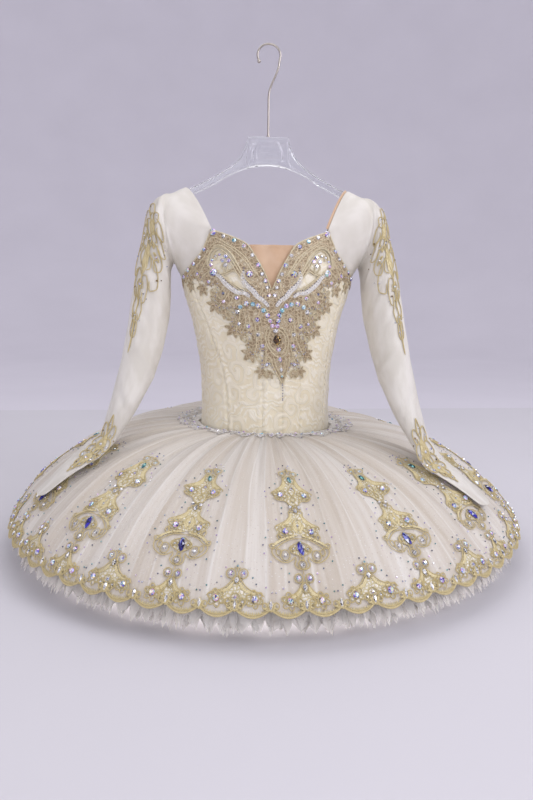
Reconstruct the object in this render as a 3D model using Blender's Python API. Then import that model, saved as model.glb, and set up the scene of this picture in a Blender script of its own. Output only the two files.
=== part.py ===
"""A classical ballet tutu on its clear plastic hanger: boned brocade bodice, sheer raglan sleeves,
a stiffened net skirt with dagged under-layers, and raised corded lace.

Frame: metres, +Z up, front towards -Y, wearer's right towards -X.  The origin is the inner top of
the hanger's hook.  Every height in the tables below is measured up from the tips of the gold hem,
and add_solid() moves it down by HOOK_HEIGHT."""

import bpy
import numpy as np
from mathutils import Vector
from mathutils.geometry import delaunay_2d_cdt

# ---- driving dimensions, metres and degrees ---------------------------------------------------
HOOK_HEIGHT = 0.8976        # gold hem tips up to the inner top of the hook
SEAM_GAP = 0.0003           # air left between pieces that are sewn together
BROCADE = 0.0015            # walls: brocade with its coutil backing
NET = 0.0012                # one stiffened net layer
MESH = 0.0010               # stretch mesh of the sleeves
LACE = 0.0013               # corded lace
LACE_LIFT = 0.0006          # lace floats this far over what carries it
RIDGE_BEND = 0.03           # skirt lace folds over ridges that bend more than this, radians
BODY_RIDGE_BEND = 0.008     # and bodice lace over these

SKIRT_RADIUS = 0.467        # gold hem
SKIRT_CROWN = 0.155         # height of the dome over the hem
SKIRT_DIP = 0.008           # the dome dips by this much at the waist seam
SKIRT_BACK_RISE = 0.036     # the skirt and its seam sit higher at the back
SKIRT_LEAN = 0.030          # and a little higher on the wearer's right, per metre
SKIRT_COLUMNS = 80          # alternately a ridge and a valley: 40 soft radial folds
SKIRT_SHARES = np.array([0.0, 0.14, 0.37, 0.61, 0.82, 0.972, 1.0])
SKIRT_LENGTH = 0.420        # waist seam to hem along the cloth, in the lace's flat places
SHEET_LAP = 2               # columns that the lace's sheet runs on past the centre back
FOLD_DEPTH = 0.0030
NET_EDGE = 0.972            # the top net ends here, and its gold edge goes on to 1
REPEATS = 16                # tall lace motifs round the hem
REPEAT_START = 1.8          # azimuth of the first, degrees from the front
SCALLOPS = 4                # in one repeat

WAIST = {"half_width": 0.1250, "front": 0.0820, "back": 0.0740}
BODICE_TURN = 11.0          # degrees that the bodice's seams have turned at the waist
BODICE_ROWS = 6

# the bodice's sections, bottom to top
# height, half width, depth in front, depth behind
SECTIONS = np.array([
    (0.1400, 0.1250, 0.0820, 0.0740),
    (0.2150, 0.1245, 0.0840, 0.0720),
    (0.2600, 0.1265, 0.0880, 0.0760),
    (0.3050, 0.1335, 0.0940, 0.0820),
    (0.3600, 0.1455, 0.1020, 0.0880),
    (0.4150, 0.1620, 0.1080, 0.0930),
    (0.4500, 0.1660, 0.1070, 0.0960),
    (0.4900, 0.1600, 0.1010, 0.0960),
    (0.5300, 0.1500, 0.0930, 0.0930),
])

# the cut of half the bodice: angle from the centre front and height of the top edge, and the angle
# of the same thread at the waist
# top angle, top height, waist angle
CUT = np.array([
    (0.0, 0.4136, 0.0), (2.5, 0.4320, 4.5), (5.5, 0.4520, 9.0), (10.5, 0.4760, 13.0),
    (16.0, 0.4970, 17.0), (25.0, 0.5095, 24.0), (35.0, 0.5180, 31.0), (46.6, 0.5265, 37.5),
    (51.0, 0.4900, 41.0), (57.0, 0.4725, 44.5), (64.0, 0.4570, 48.0), (73.0, 0.4445, 62.0),
    (82.0, 0.4360, 77.0), (92.0, 0.4315, 92.0), (101.0, 0.4340, 102.0), (111.0, 0.4420, 113.0),
    (121.0, 0.4620, 124.0), (131.0, 0.5060, 135.0), (143.0, 0.4900, 146.0), (155.0, 0.4780, 157.0),
    (167.0, 0.4705, 168.0), (180.0, 0.4680, 180.0),
])
PANELS = {"centre_front": (0, 4), "front": (4, 10), "side_front": (10, 13),
          "side_back": (13, 17), "back": (17, 21)}
FRONT_CORNER = 7            # row of CUT where the neckline meets the armhole
UNDERARM = 13
BACK_CORNER = 17

# the sleeve from the shoulder down: how far it has swung forward, its outer and inner lines in the
# vertical plane that it hangs in, and half its depth across that plane
# swing, outer reach, outer height, inner reach, inner height, half depth
SLEEVE = np.array([
    (0.00, 0.1900, 0.6000, 0.1745, 0.4545, 0.0590),
    (0.00, 0.2150, 0.5895, 0.1812, 0.4640, 0.0610),
    (0.03, 0.2310, 0.5640, 0.1868, 0.4480, 0.0590),
    (0.12, 0.2390, 0.5150, 0.1862, 0.4150, 0.0520),
    (0.28, 0.2550, 0.4350, 0.1890, 0.3620, 0.0460),
    (0.52, 0.2670, 0.3500, 0.2030, 0.3020, 0.0425),
    (0.74, 0.2830, 0.2820, 0.2260, 0.2520, 0.0395),
    (0.93, 0.3040, 0.2160, 0.2630, 0.1990, 0.0365),
    (1.00, 0.3230, 0.1640, 0.3020, 0.1530, 0.0330),
])
SLEEVE_LIES = {"right": -65.0, "left": 53.0}   # azimuth at which the forearm lies on the skirt
SLEEVE_REST = 0.0040        # its underside over the net, clear of the lace
# the part that lies on the skirt: share of the skirt's length, half width, thickness
CUFF = np.array([
    (0.560, 0.0310, 0.0150),
    (0.620, 0.0290, 0.0110),
    (0.690, 0.0240, 0.0085),
    (0.750, 0.0170, 0.0070),
])
CUFF_POINT = 0.055          # the upper side runs on to a point by this share

# ---- finishes: colour, roughness, metallic ----------------------------------------------------
FINISHES = {
    "brocade": ((0.84, 0.78, 0.62, 1.0), 0.55, 0.0),
    "net": ((0.80, 0.75, 0.69, 1.0), 0.80, 0.0),
    "mesh": ((0.81, 0.79, 0.73, 1.0), 0.70, 0.0),
    "skin_tone": ((0.66, 0.44, 0.29, 1.0), 0.70, 0.0),
    "gold_lace": ((0.56, 0.46, 0.22, 1.0), 0.45, 0.3),
    "taupe_lace": ((0.38, 0.28, 0.15, 1.0), 0.45, 0.3),
    "silver_lace": ((0.62, 0.58, 0.52, 1.0), 0.40, 0.4),
    "clear_plastic": ((0.90, 0.92, 0.95, 1.0), 0.08, 0.0),
    "steel": ((0.60, 0.58, 0.55, 1.0), 0.25, 1.0),
}


# ---- helpers ----------------------------------------------------------------------------------
def finish(name):
    """The shared material of that name."""
    material = bpy.data.materials.get(name)
    if material is None:
        material = bpy.data.materials.new(name)
        material.use_nodes = True
        colour, roughness, metallic = FINISHES[name]
        shader = material.node_tree.nodes["Principled BSDF"]
        shader.inputs["Base Color"].default_value = colour
        shader.inputs["Roughness"].default_value = roughness
        shader.inputs["Metallic"].default_value = metallic
        material.diffuse_color = colour
    return material


def add_solid(name, points, faces, material):
    """One named mesh object from points whose heights are over the hem."""
    mesh = bpy.data.meshes.new(name)
    placed = np.array(points, dtype=float)
    placed[:, 2] -= HOOK_HEIGHT
    mesh.from_pydata(placed.tolist(), [], faces)
    mesh.validate()
    mesh.shade_smooth()
    mesh.set_sharp_from_angle(angle=0.7)
    mesh.materials.append(finish(material))
    solid = bpy.data.objects.new(name, mesh)
    bpy.context.scene.collection.objects.link(solid)
    return solid


def grid_triangles(rows, columns, wraps):
    """Triangles of a grid of points held row by row, each quad cut along the same diagonal."""
    span = columns if wraps else columns - 1
    row, column = np.meshgrid(np.arange(rows - 1), np.arange(span), indexing="ij")
    row, column = row.ravel(), column.ravel()
    after = (column + 1) % columns
    a, b = row * columns + column, row * columns + after
    c, d = (row + 1) * columns + after, (row + 1) * columns + column
    return np.concatenate([np.stack([a, b, c], 1), np.stack([a, c, d], 1)])


def vertex_normals(points, triangles):
    """Unit normals, each the sum of its triangles' area vectors."""
    a, b, c = (points[triangles[:, k]] for k in range(3))
    area = np.cross(b - a, c - a)
    normals = np.zeros_like(points)
    for k in range(3):
        np.add.at(normals, triangles[:, k], area)
    return normals / np.linalg.norm(normals, axis=1, keepdims=True)


def wall(name, outer, inner, triangles, material):
    """A closed wall between two point sets that share their triangles, rims included."""
    count = len(outer)
    edges = {}
    for a, b, c in triangles.tolist():
        for start, end in ((a, b), (b, c), (c, a)):
            edges[(start, end)] = True
    faces = [tuple(t) for t in triangles.tolist()]
    faces += [(c + count, b + count, a + count) for a, b, c in triangles.tolist()]
    for start, end in edges:
        if (end, start) not in edges:
            faces.append((end, start, start + count))
            faces.append((end, start + count, end + count))
    return add_solid(name, np.concatenate([outer, inner]), faces, material)


def curve_through(table, heights):
    """The table's other columns at these values of its first, on a smooth curve."""
    knots = table[:, 0]
    result = []
    for values in table[:, 1:].T:
        slopes = np.gradient(values, knots)
        place = np.clip(np.searchsorted(knots, heights) - 1, 0, len(knots) - 2)
        width = knots[place + 1] - knots[place]
        t = (heights - knots[place]) / width
        result.append(
            values[place] * (1 + 2 * t) * (1 - t) ** 2
            + values[place + 1] * t * t * (3 - 2 * t)
            + width * slopes[place] * t * (1 - t) ** 2
            + width * slopes[place + 1] * t * t * (t - 1)
        )
    return result


# ---- lace: flat outlines laid on a sheet ------------------------------------------------------
class Sheet:
    """A triangulated sheet: flat places, points and normals, which lace is laid on."""

    def __init__(self, flat, points, normals, triangles, least_bend):
        self.flat, self.points, self.normals, self.triangles = flat, points, normals, triangles
        a, b, c = (flat[triangles[:, k]] for k in range(3))
        self.corner, self.first, self.second = a, b - a, c - a
        self.cross = self.first[:, 0] * self.second[:, 1] - self.first[:, 1] * self.second[:, 0]
        self.turn = np.sign(self.cross.sum())
        self.ridges = self.find_ridges(least_bend)

    def find_ridges(self, least_bend):
        """Edges where the sheet bends away from its outer side, which lace has to fold over."""
        a, b, c = (self.points[self.triangles[:, k]] for k in range(3))
        facing = np.cross(b - a, c - a)
        facing /= np.linalg.norm(facing, axis=1, keepdims=True)
        owners = {}
        for number, triangle in enumerate(self.triangles.tolist()):
            for start, end in zip(triangle, triangle[1:] + triangle[:1]):
                owners.setdefault(tuple(sorted((start, end))), []).append(number)
        middles = self.points[self.triangles].mean(1)
        ridges = []
        for edge, pair in owners.items():
            if len(pair) == 2:
                first, second = pair
                bend = np.dot(facing[first], middles[second] - middles[first])
                if bend < -least_bend * np.linalg.norm(middles[second] - middles[first]):
                    ridges.append(edge)
        return ridges

    def place(self, flat_points, lift):
        """Points over the sheet at these flat places, moved out by lift."""
        result = []
        for point, height in zip(flat_points, lift):
            offset = point - self.corner
            u = (offset[:, 0] * self.second[:, 1] - offset[:, 1] * self.second[:, 0]) / self.cross
            v = (self.first[:, 0] * offset[:, 1] - self.first[:, 1] * offset[:, 0]) / self.cross
            best = np.argmax(np.minimum(np.minimum(u, v), 1 - u - v))
            weights = np.array([1 - u[best] - v[best], u[best], v[best]])
            corners = self.triangles[best]
            normal = weights @ self.normals[corners]
            result.append(weights @ self.points[corners] + normal / np.linalg.norm(normal) * height)
        return np.array(result)


def inside(points, loop):
    """Which flat points lie inside the closed loop."""
    x, y = points[:, 0], points[:, 1]
    result = np.zeros(len(points), dtype=bool)
    for (x0, y0), (x1, y1) in zip(loop, np.roll(loop, -1, axis=0)):
        if y0 != y1:
            crosses = (y0 > y) != (y1 > y)
            result ^= crosses & (x < x0 + (y - y0) * (x1 - x0) / (y1 - y0))
    return result


def lay_lace(name, sheet, outlines, windows, material, stones=()):
    """Lace cut to flat outlines less its windows, folded where the sheet's facets meet.

    stones are (flat place, half width, half length, height): a raised gem inside the lace."""
    loops = [np.array(loop) for loop in list(outlines) + list(windows)]
    places, edges = [], []
    for loop in loops:
        base = len(places)
        places.extend(loop.tolist())
        edges.extend((base + k, base + (k + 1) % len(loop)) for k in range(len(loop)))
    for (x, y), half_width, half_length, _height in stones:
        base = len(places)
        places.extend([[x + half_width, y], [x, y + half_length], [x - half_width, y],
                       [x, y - half_length], [x, y]])
        edges.extend((base + k, base + (k + 1) % 4) for k in range(4))
    low = np.min([loop.min(0) for loop in loops], axis=0)
    high = np.max([loop.max(0) for loop in loops], axis=0)
    index = {}
    for ridge in sheet.ridges:
        ends = sheet.flat[list(ridge)]
        if (ends.max(0) > low).all() and (ends.min(0) < high).all():
            for vertex in ridge:
                if vertex not in index:
                    index[vertex] = len(places)
                    places.append(sheet.flat[vertex].tolist())
            edges.append((index[ridge[0]], index[ridge[1]]))
    cut = delaunay_2d_cdt([Vector(p) for p in places], edges, [], 0, 2e-5)
    flat = np.array([tuple(p) for p in cut[0]])
    triangles = np.array(cut[2])
    middle = flat[triangles].mean(1)
    keep = np.zeros(len(triangles), dtype=bool)
    for loop in loops[:len(outlines)]:
        keep |= inside(middle, loop)
    for loop in loops[len(outlines):]:
        keep &= ~inside(middle, loop)
    triangles = triangles[keep]
    a, b, c = (flat[triangles[:, k]] for k in range(3))
    area = (b - a)[:, 0] * (c - a)[:, 1] - (b - a)[:, 1] * (c - a)[:, 0]
    wrong = np.sign(area) != sheet.turn
    triangles[wrong] = triangles[wrong][:, ::-1]
    used, triangles = np.unique(triangles, return_inverse=True)
    triangles = triangles.reshape(-1, 3)
    flat = flat[used]
    raised = np.full(len(flat), LACE_LIFT + LACE)
    for (x, y), _half_width, _half_length, height in stones:
        raised[np.argmin(np.hypot(flat[:, 0] - x, flat[:, 1] - y))] += height
    outer = sheet.place(flat, raised)
    inner = sheet.place(flat, np.full(len(flat), LACE_LIFT))
    return wall(name, outer, inner, triangles, material)


def mirrored(half):
    """A whole outline from its left half, listed from the tip down: (across, along) pairs."""
    half = np.array(half)
    other = half[::-1] * (-1, 1)
    return np.concatenate([half, other[np.abs(other[:, 0]) > 1e-9]])


# ---- bodice -----------------------------------------------------------------------------------
def bodice_turn(height):
    """Degrees that the seams have turned about the body at this height."""
    t = np.clip((height - 0.22) / (0.41 - 0.22), 0.0, 1.0)
    return BODICE_TURN * (1 - t * t * (3 - 2 * t))


def oval(half_width, front, back, azimuth):
    """A point on the oval section at this azimuth, degrees from the front towards +X."""
    angle = np.radians(azimuth)
    depth = np.where(np.cos(angle) > 0, front, back)
    return half_width * np.sin(angle), -depth * np.cos(angle)


def body_point(angle, height):
    """A point of the bodice's outer face: angle from the centre-front seam, height."""
    half_width, front, back = curve_through(SECTIONS, height)
    x, y = oval(half_width, front, back, angle + bodice_turn(height))
    return np.stack([x, y, height], axis=-1)


def body_normal(angle, height):
    """The outward unit normal of the bodice there."""
    across = body_point(angle + 0.1, height) - body_point(angle - 0.1, height)
    along = body_point(angle, height + 0.0005) - body_point(angle, height - 0.0005)
    normals = np.cross(across, along)
    return normals / np.linalg.norm(normals, axis=-1, keepdims=True)


def seam_height(azimuth):
    """Height of the seam between bodice and skirt."""
    angle = np.radians(azimuth)
    x, _y = oval(WAIST["half_width"], WAIST["front"], WAIST["back"], azimuth)
    back = ((1 - np.cos(angle)) / 2) ** 3
    return SKIRT_CROWN - SKIRT_DIP + SKIRT_BACK_RISE * back - SKIRT_LEAN * x


def bodice_grid(first, last, side):
    """Angles and heights of the grid over one panel, rows upward, columns as in CUT."""
    columns = CUT[first:last + 1]
    share = np.linspace(0.0, 1.0, BODICE_ROWS + 1)[:, None]
    angle = side * (columns[:, 2] + (columns[:, 0] - columns[:, 2]) * share ** 1.3)
    bottom = seam_height(side * columns[:, 2] + BODICE_TURN) - 0.0008
    height = bottom + (columns[:, 1] - bottom) * share
    return angle, height


def bodice_panel(name, first, last, side):
    """One brocade panel between two seams; side is 1 on the wearer's left, -1 on the right."""
    angle, height = bodice_grid(first, last, side)
    half_width = curve_through(SECTIONS, height)[0]
    gap = np.degrees(SEAM_GAP / 2 / half_width)
    angle[:, 0] += side * gap[:, 0]
    angle[:, -1] -= side * gap[:, -1]
    outer = body_point(angle, height)
    inner = outer - body_normal(angle, height) * BROCADE
    triangles = grid_triangles(*angle.shape, wraps=False)
    if side < 0:
        triangles = triangles[:, ::-1]
    wall(name, outer.reshape(-1, 3), inner.reshape(-1, 3), triangles, "brocade")


def bodice_front_sheet():
    """The front panels as one sheet, flat places (angle in radians x 0.13 m, height)."""
    angle, height = bodice_grid(0, UNDERARM, 1)
    whole_angle = np.concatenate([-angle[:, :0:-1], angle], axis=1)
    left, right = bodice_grid(0, UNDERARM, -1)[1], height
    whole_height = np.concatenate([left[:, :0:-1], right], axis=1)
    points = body_point(whole_angle, whole_height).reshape(-1, 3)
    normals = body_normal(whole_angle, whole_height).reshape(-1, 3)
    flat = np.stack([body_flat(whole_angle).ravel(), whole_height.ravel()], 1)
    half = grid_triangles(len(angle), UNDERARM + 1, wraps=False)
    row, column = np.divmod(half, UNDERARM + 1)
    centre = row * (2 * UNDERARM + 1) + UNDERARM
    triangles = np.concatenate([centre + column, (centre - column)[:, ::-1]])
    return Sheet(flat, points, normals, triangles, BODY_RIDGE_BEND)


def body_flat(angle):
    """Flat distance round the body for an angle in degrees."""
    return np.radians(angle) * 0.13


MODESTY_REACH = 25.0        # degrees to each side of the centre front
MODESTY_LOW, MODESTY_HIGH = 0.3920, 0.4968
MODESTY_GAP = 0.0026        # between it and the inside of the panels


def modesty_panel():
    """Skin-tone net behind the neckline's V, held inside the centre-front panels."""
    across = np.linspace(-MODESTY_REACH, MODESTY_REACH, 7)
    angle, height = np.meshgrid(across, np.linspace(MODESTY_LOW, MODESTY_HIGH, 4))
    skin = body_point(angle, height)
    normals = body_normal(angle, height)
    outer = skin - normals * (BROCADE + MODESTY_GAP)
    inner = outer - normals * MESH
    triangles = grid_triangles(*angle.shape, wraps=False)
    wall("modesty_panel", outer.reshape(-1, 3), inner.reshape(-1, 3), triangles, "skin_tone")


# half outline of the neckline lace from its point up the wearer's left: angle, height
NECK_LACE = [
    (0.0, 0.240), (5.0, 0.262), (8.0, 0.274), (15.0, 0.268), (12.5, 0.298), (20.0, 0.294),
    (21.0, 0.331), (30.5, 0.338), (29.0, 0.373), (39.5, 0.382), (38.5, 0.409), (45.0, 0.420),
    (52.0, 0.431), (62.0, 0.428), (73.0, 0.424), (83.0, 0.414),
]
NECK_LACE_WINDOW = [
    (40.0, 0.484), (43.0, 0.466), (34.0, 0.441), (22.0, 0.417), (19.0, 0.424), (28.0, 0.456),
    (34.5, 0.482),
]


def neckline_lace():
    """Thick lace over the front, cut along the neckline and the armholes, with two windows."""
    top = CUT[UNDERARM - 1::-1, :2] - (0.0, 0.0010)
    top[:5, 0] -= (1.0, 0.8, 0.8, 0.8, 0.8)
    top[5, 0] -= 1.2
    half = [(body_flat(angle), height) for angle, height in NECK_LACE]
    half += [(body_flat(angle), height) for angle, height in top]
    half[-1] = (0.0, CUT[0, 1] - 0.0012)
    half = np.array(half)
    outline = np.concatenate([half, half[-2:0:-1] * (-1, 1)])
    window = np.array([(body_flat(angle), height) for angle, height in NECK_LACE_WINDOW])
    stones = [((0.0, 0.325), 0.0065, 0.0085, 0.004), ((0.0, 0.300), 0.0040, 0.0045, 0.002)]
    lay_lace("neckline_lace", bodice_front_sheet(), [outline], [window, window * (-1, 1)],
             "taupe_lace", stones)


# ---- skirt ------------------------------------------------------------------------------------
def waist_reach(azimuth):
    """Distance of the waist oval from the axis."""
    angle = np.radians(azimuth)
    depth = np.where(np.cos(angle) > 0, WAIST["front"], WAIST["back"])
    return 1 / np.hypot(np.sin(angle) / WAIST["half_width"], np.cos(angle) / depth)


def dome(azimuth, share, radius, crown, hem):
    """A layer of the skirt: share runs from the waist seam, 0, to the hem, 1."""
    angle = np.radians(azimuth)
    start = waist_reach(azimuth) + 0.0005
    out = share * (1.128 - 0.128 * share ** 4)
    reach = start + (radius - start) * out
    fall = np.clip(1 - out ** 2.6, 0, 1) ** 0.8
    dip = SKIRT_DIP * np.exp(-out / 0.06)
    back = SKIRT_BACK_RISE * ((1 - np.cos(angle)) / 2) ** 3 * (1 - out) ** 1.2
    lean = -SKIRT_LEAN * reach * np.sin(angle) * (1 - out ** 2)
    height = hem + (crown - hem) * fall - dip + back + lean
    return np.stack([reach * np.sin(angle), -reach * np.cos(angle), height], axis=-1)


def fold_wave(azimuth):
    """Uneven soft folds: every other column is a ridge, some deeper than others, -1 to 1."""
    angle = np.radians(azimuth)
    ridge = np.cos(SKIRT_COLUMNS / 2 * angle)
    return ridge * (0.75 + 0.25 * np.sin(5 * angle + 0.6 * np.sin(3 * angle)))


def skirt_sheet():
    """The top net and the short run of gold edge below it as one sheet, overlapping at the back."""
    column = np.arange(-SHEET_LAP, SKIRT_COLUMNS + SHEET_LAP + 1)
    azimuth, share = np.meshgrid(360.0 * column / SKIRT_COLUMNS - 180.0, SKIRT_SHARES)
    smooth = dome(azimuth, share, SKIRT_RADIUS, SKIRT_CROWN, 0.0)
    triangles = grid_triangles(*azimuth.shape, wraps=False)[:, ::-1]
    normals = vertex_normals(smooth.reshape(-1, 3), triangles).reshape(smooth.shape)
    depth = FOLD_DEPTH * np.sin(np.pi * share ** 0.8) ** 0.7
    points = smooth + normals * (depth * fold_wave(azimuth))[..., None]
    points = points.reshape(-1, 3)
    flat = np.stack([np.radians(azimuth) * SKIRT_RADIUS, share * SKIRT_LENGTH], axis=-1)
    normals = vertex_normals(points, triangles)
    return Sheet(flat.reshape(-1, 2), points, normals, triangles, RIDGE_BEND)


def skirt_top(sheet):
    """The pleated top net, from the waist to the gold edge."""
    rows = int(np.searchsorted(SKIRT_SHARES, NET_EDGE)) + 1
    columns = slice(SHEET_LAP, SHEET_LAP + SKIRT_COLUMNS)
    outer = sheet.points.reshape(len(SKIRT_SHARES), -1, 3)[:rows, columns].reshape(-1, 3)
    normals = sheet.normals.reshape(len(SKIRT_SHARES), -1, 3)[:rows, columns].reshape(-1, 3)
    triangles = grid_triangles(rows, SKIRT_COLUMNS, wraps=True)[:, ::-1]
    wall("skirt_top", outer, outer - normals * NET, triangles, "net")


UNDER_LAYERS = {
    "skirt_under_1": {"radius": 0.461, "crown": 0.141, "hem": -0.021, "start": 0.0052},
    "skirt_under_2": {"radius": 0.443, "crown": 0.127, "hem": -0.027, "start": 0.0104},
}
UNDER_COLUMNS = 64          # two for each point of the dagged edge
UNDER_POINT = 0.016         # share of the length that a point stands past the notch
UNDER_RUFFLE = 0.0045


def skirt_under(name, layer):
    """A dagged net layer below the top one."""
    shares = np.array([0.0, 0.52, 1.0])
    turns = 360.0 * np.arange(UNDER_COLUMNS) / UNDER_COLUMNS
    azimuth, share = np.meshgrid(turns, shares)
    notch = np.where(np.arange(UNDER_COLUMNS) % 2 == 0, 0.0, UNDER_POINT)
    share = share - notch * (share > 0.99)
    crown_drop = SKIRT_CROWN - layer["crown"]
    points = dome(azimuth, share, layer["radius"], layer["crown"], layer["hem"])
    near_waist = np.clip(1 - share / 0.25, 0, 1)
    points[..., 2] += (crown_drop - layer["start"]) * near_waist
    points[0] *= (1.008, 1.008, 1.0)
    triangles = grid_triangles(*azimuth.shape, wraps=True)[:, ::-1]
    normals = vertex_normals(points.reshape(-1, 3), triangles).reshape(points.shape)
    wave = np.sin(16 * np.radians(azimuth) + 1.2 * np.sin(5 * np.radians(azimuth)))
    points += normals * (UNDER_RUFFLE * share ** 2 * wave)[..., None]
    outer = points.reshape(-1, 3)
    normals = vertex_normals(outer, triangles)
    wall(name, outer, outer - normals * NET, triangles, "net")


def on_skirt(azimuth, across, share):
    """Flat place on the skirt sheet of a point this far across from a meridian."""
    centre = np.radians(azimuth) * SKIRT_RADIUS
    out = share * (1.128 - 0.128 * share ** 4)
    reach = waist_reach(azimuth) + (SKIRT_RADIUS - waist_reach(azimuth)) * out
    return centre + across * SKIRT_RADIUS / reach, share * SKIRT_LENGTH


# half of a tall motif from its spike to the gold edge: metres across, share of the skirt's length
TALL_MOTIF = [
    (0.0, 0.440), (0.009, 0.476), (0.007, 0.504), (0.028, 0.584), (0.023, 0.612), (0.008, 0.640),
    (0.009, 0.672), (0.030, 0.733), (0.026, 0.756), (0.038, 0.784), (0.031, 0.828), (0.013, 0.852),
    (0.010, 0.910), (0.023, 0.9530),
]
TALL_WINDOW = [(0.0050, 0.764), (0.0150, 0.776), (0.0280, 0.788), (0.0180, 0.808), (0.0060, 0.822)]
TALL_NAVETTE = {"share": 0.795, "half_width": 0.0040, "half_length": 0.0095, "height": 0.0035}
# the small motif halfway between two tall ones, which is one piece with the gold edge
SMALL_MOTIF = [(0.0, 0.846), (0.008, 0.872), (0.009, 0.892), (0.034, 0.934)]
SMALL_WINDOW = [(0.0, 0.916), (0.0110, 0.944), (-0.0110, 0.944)]
EDGE_INNER = 0.9560         # upper side of the gold edge between motifs
SCALLOP_NOTCH = 0.9740      # depth of the notches between scallops


def meridian(index, half=0.0):
    """Azimuth of a repeat, -180 to 180."""
    turn = REPEAT_START + 360.0 * (index + half) / REPEATS
    return (turn + 180.0) % 360.0 - 180.0


def tall_motif(index, sheet):
    """One tall lace motif with its diamond window and navette."""
    azimuth = meridian(index)
    outline = [on_skirt(azimuth, x, y) for x, y in mirrored(TALL_MOTIF)]
    windows = [[on_skirt(azimuth, side * x, y) for x, y in TALL_WINDOW] for side in (-1, 1)]
    stone = (on_skirt(azimuth, 0.0, TALL_NAVETTE["share"]), TALL_NAVETTE["half_width"],
             TALL_NAVETTE["half_length"], TALL_NAVETTE["height"])
    lay_lace(f"skirt_motif_{index + 1:02d}", sheet, [outline], windows, "gold_lace", [stone])


def hem_lace(sheet):
    """The scalloped gold edge with its small motifs, in two halves that meet at the sides."""
    for name, start, end in (("hem_lace_right", -180.0, 0.0), ("hem_lace_left", 0.0, 180.0)):
        step = 360.0 / REPEATS / SCALLOPS
        first = np.ceil((start - REPEAT_START) / step)
        last = np.floor((end - REPEAT_START) / step)
        notches = REPEAT_START + step * np.arange(first, last + 1)
        gap = 0.04
        lower = [(np.radians(start + gap) * SKIRT_RADIUS, 0.986 * SKIRT_LENGTH)]
        for notch in notches:
            lower.append((np.radians(notch) * SKIRT_RADIUS, SCALLOP_NOTCH * SKIRT_LENGTH))
            for part, depth in ((0.30, 0.9965), (0.66, 0.9990)):
                turn = notch + step * part
                if turn < end - 0.4:
                    lower.append((np.radians(turn) * SKIRT_RADIUS, depth * SKIRT_LENGTH))
        lower.append((np.radians(end - gap) * SKIRT_RADIUS, 0.986 * SKIRT_LENGTH))
        upper = [(np.radians(end - gap) * SKIRT_RADIUS, EDGE_INNER * SKIRT_LENGTH)]
        windows = []
        centres = sorted((meridian(k, 0.5) for k in range(REPEATS)), reverse=True)
        for centre in centres:
            if start < centre < end:
                bump = [(0.036, EDGE_INNER)] + [tuple(p) for p in SMALL_MOTIF[::-1]]
                bump += [(-x, y) for x, y in SMALL_MOTIF[1:]] + [(-0.036, EDGE_INNER)]
                upper += [on_skirt(centre, x, y) for x, y in bump]
                windows.append([on_skirt(centre, x, y) for x, y in SMALL_WINDOW])
        upper.append((np.radians(start + gap) * SKIRT_RADIUS, EDGE_INNER * SKIRT_LENGTH))
        lay_lace(name, sheet, [lower + upper], windows, "gold_lace")


def waist_lace(sheet):
    """Two halves of the beaded lace that lies on the skirt round the waist."""
    for name, start, end in (("waist_lace_right", -179.7, -0.3), ("waist_lace_left", 0.3, 179.7)):
        turns = np.linspace(start, end, 21)
        edge = 0.075 + 0.045 * (np.arange(21) % 2)
        inner = [(np.radians(t) * SKIRT_RADIUS, 0.010 * SKIRT_LENGTH) for t in turns[::2]]
        outer = [(np.radians(t) * SKIRT_RADIUS, e * SKIRT_LENGTH) for t, e in zip(turns, edge)]
        lay_lace(name, sheet, [inner + outer[::-1]], [], "silver_lace")


# ---- sleeves ----------------------------------------------------------------------------------
def sleeve_start(side):
    """The sleeve's top ring: ridge, front neck edge, armhole, back neck edge, 18 points."""
    lift = 0.0008
    columns = np.arange(FRONT_CORNER, BACK_CORNER + 1)
    edge = body_point(side * CUT[columns, 0], CUT[columns, 1] + lift)
    edge -= body_normal(side * CUT[columns, 0], CUT[columns, 1]) * 0.0002
    ridge = np.array([side * 0.1605, 0.0, hanger_top(0.1605) + 0.0050])
    share = np.array([0.25, 0.5, 0.75])[:, None]
    fall = np.concatenate([share, share ** 0.8, share ** 1.4], axis=1)
    front = ridge + (edge[0] - ridge) * fall
    back = (ridge + (edge[-1] - ridge) * fall)[::-1]
    return np.concatenate([[ridge], front, edge, back])


def sleeve_rings(side, lies):
    """All rings of one sleeve, top to cuff, each 18 points starting on the outer line."""
    front, back = np.arange(10) * 18.0, 180.0 + np.arange(8) * 22.5
    turn = np.radians(np.concatenate([front, back]))
    rings = [sleeve_start(side)]
    for swing, outer_reach, outer_height, inner_reach, inner_height, half_depth in SLEEVE:
        azimuth = np.radians(side * 90.0 + (lies - side * 90.0) * swing)
        reach = (outer_reach + inner_reach) / 2 + (outer_reach - inner_reach) / 2 * np.cos(turn)
        height = (outer_height + inner_height) / 2 + (outer_height - inner_height) / 2 * np.cos(turn)
        across = half_depth * np.sin(turn) * -side
        x = reach * np.sin(azimuth) + across * np.cos(azimuth)
        y = -reach * np.cos(azimuth) + across * np.sin(azimuth)
        rings.append(np.stack([x, y, height], 1))
    for share, half_width, thickness in CUFF:
        point = (share == CUFF[-1, 0]) * CUFF_POINT * (1 + np.cos(turn)) / 2
        reach = SKIRT_RADIUS * share
        azimuth = lies - side * np.degrees(half_width * np.sin(turn) / reach)
        skin = dome(azimuth, share + point, SKIRT_RADIUS, SKIRT_CROWN, 0.0)
        slope = dome(azimuth, share + point + 0.01, SKIRT_RADIUS, SKIRT_CROWN, 0.0) - skin
        tangent = np.stack([np.cos(np.radians(azimuth)), np.sin(np.radians(azimuth)), 0 * azimuth], 1)
        normal = np.cross(slope, tangent)
        normal /= np.linalg.norm(normal, axis=1, keepdims=True)
        lift = SLEEVE_REST + FOLD_DEPTH + thickness * (1 + np.cos(turn)) / 2
        rings.append(skin + normal * lift[:, None])
    return np.array(rings)


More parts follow.
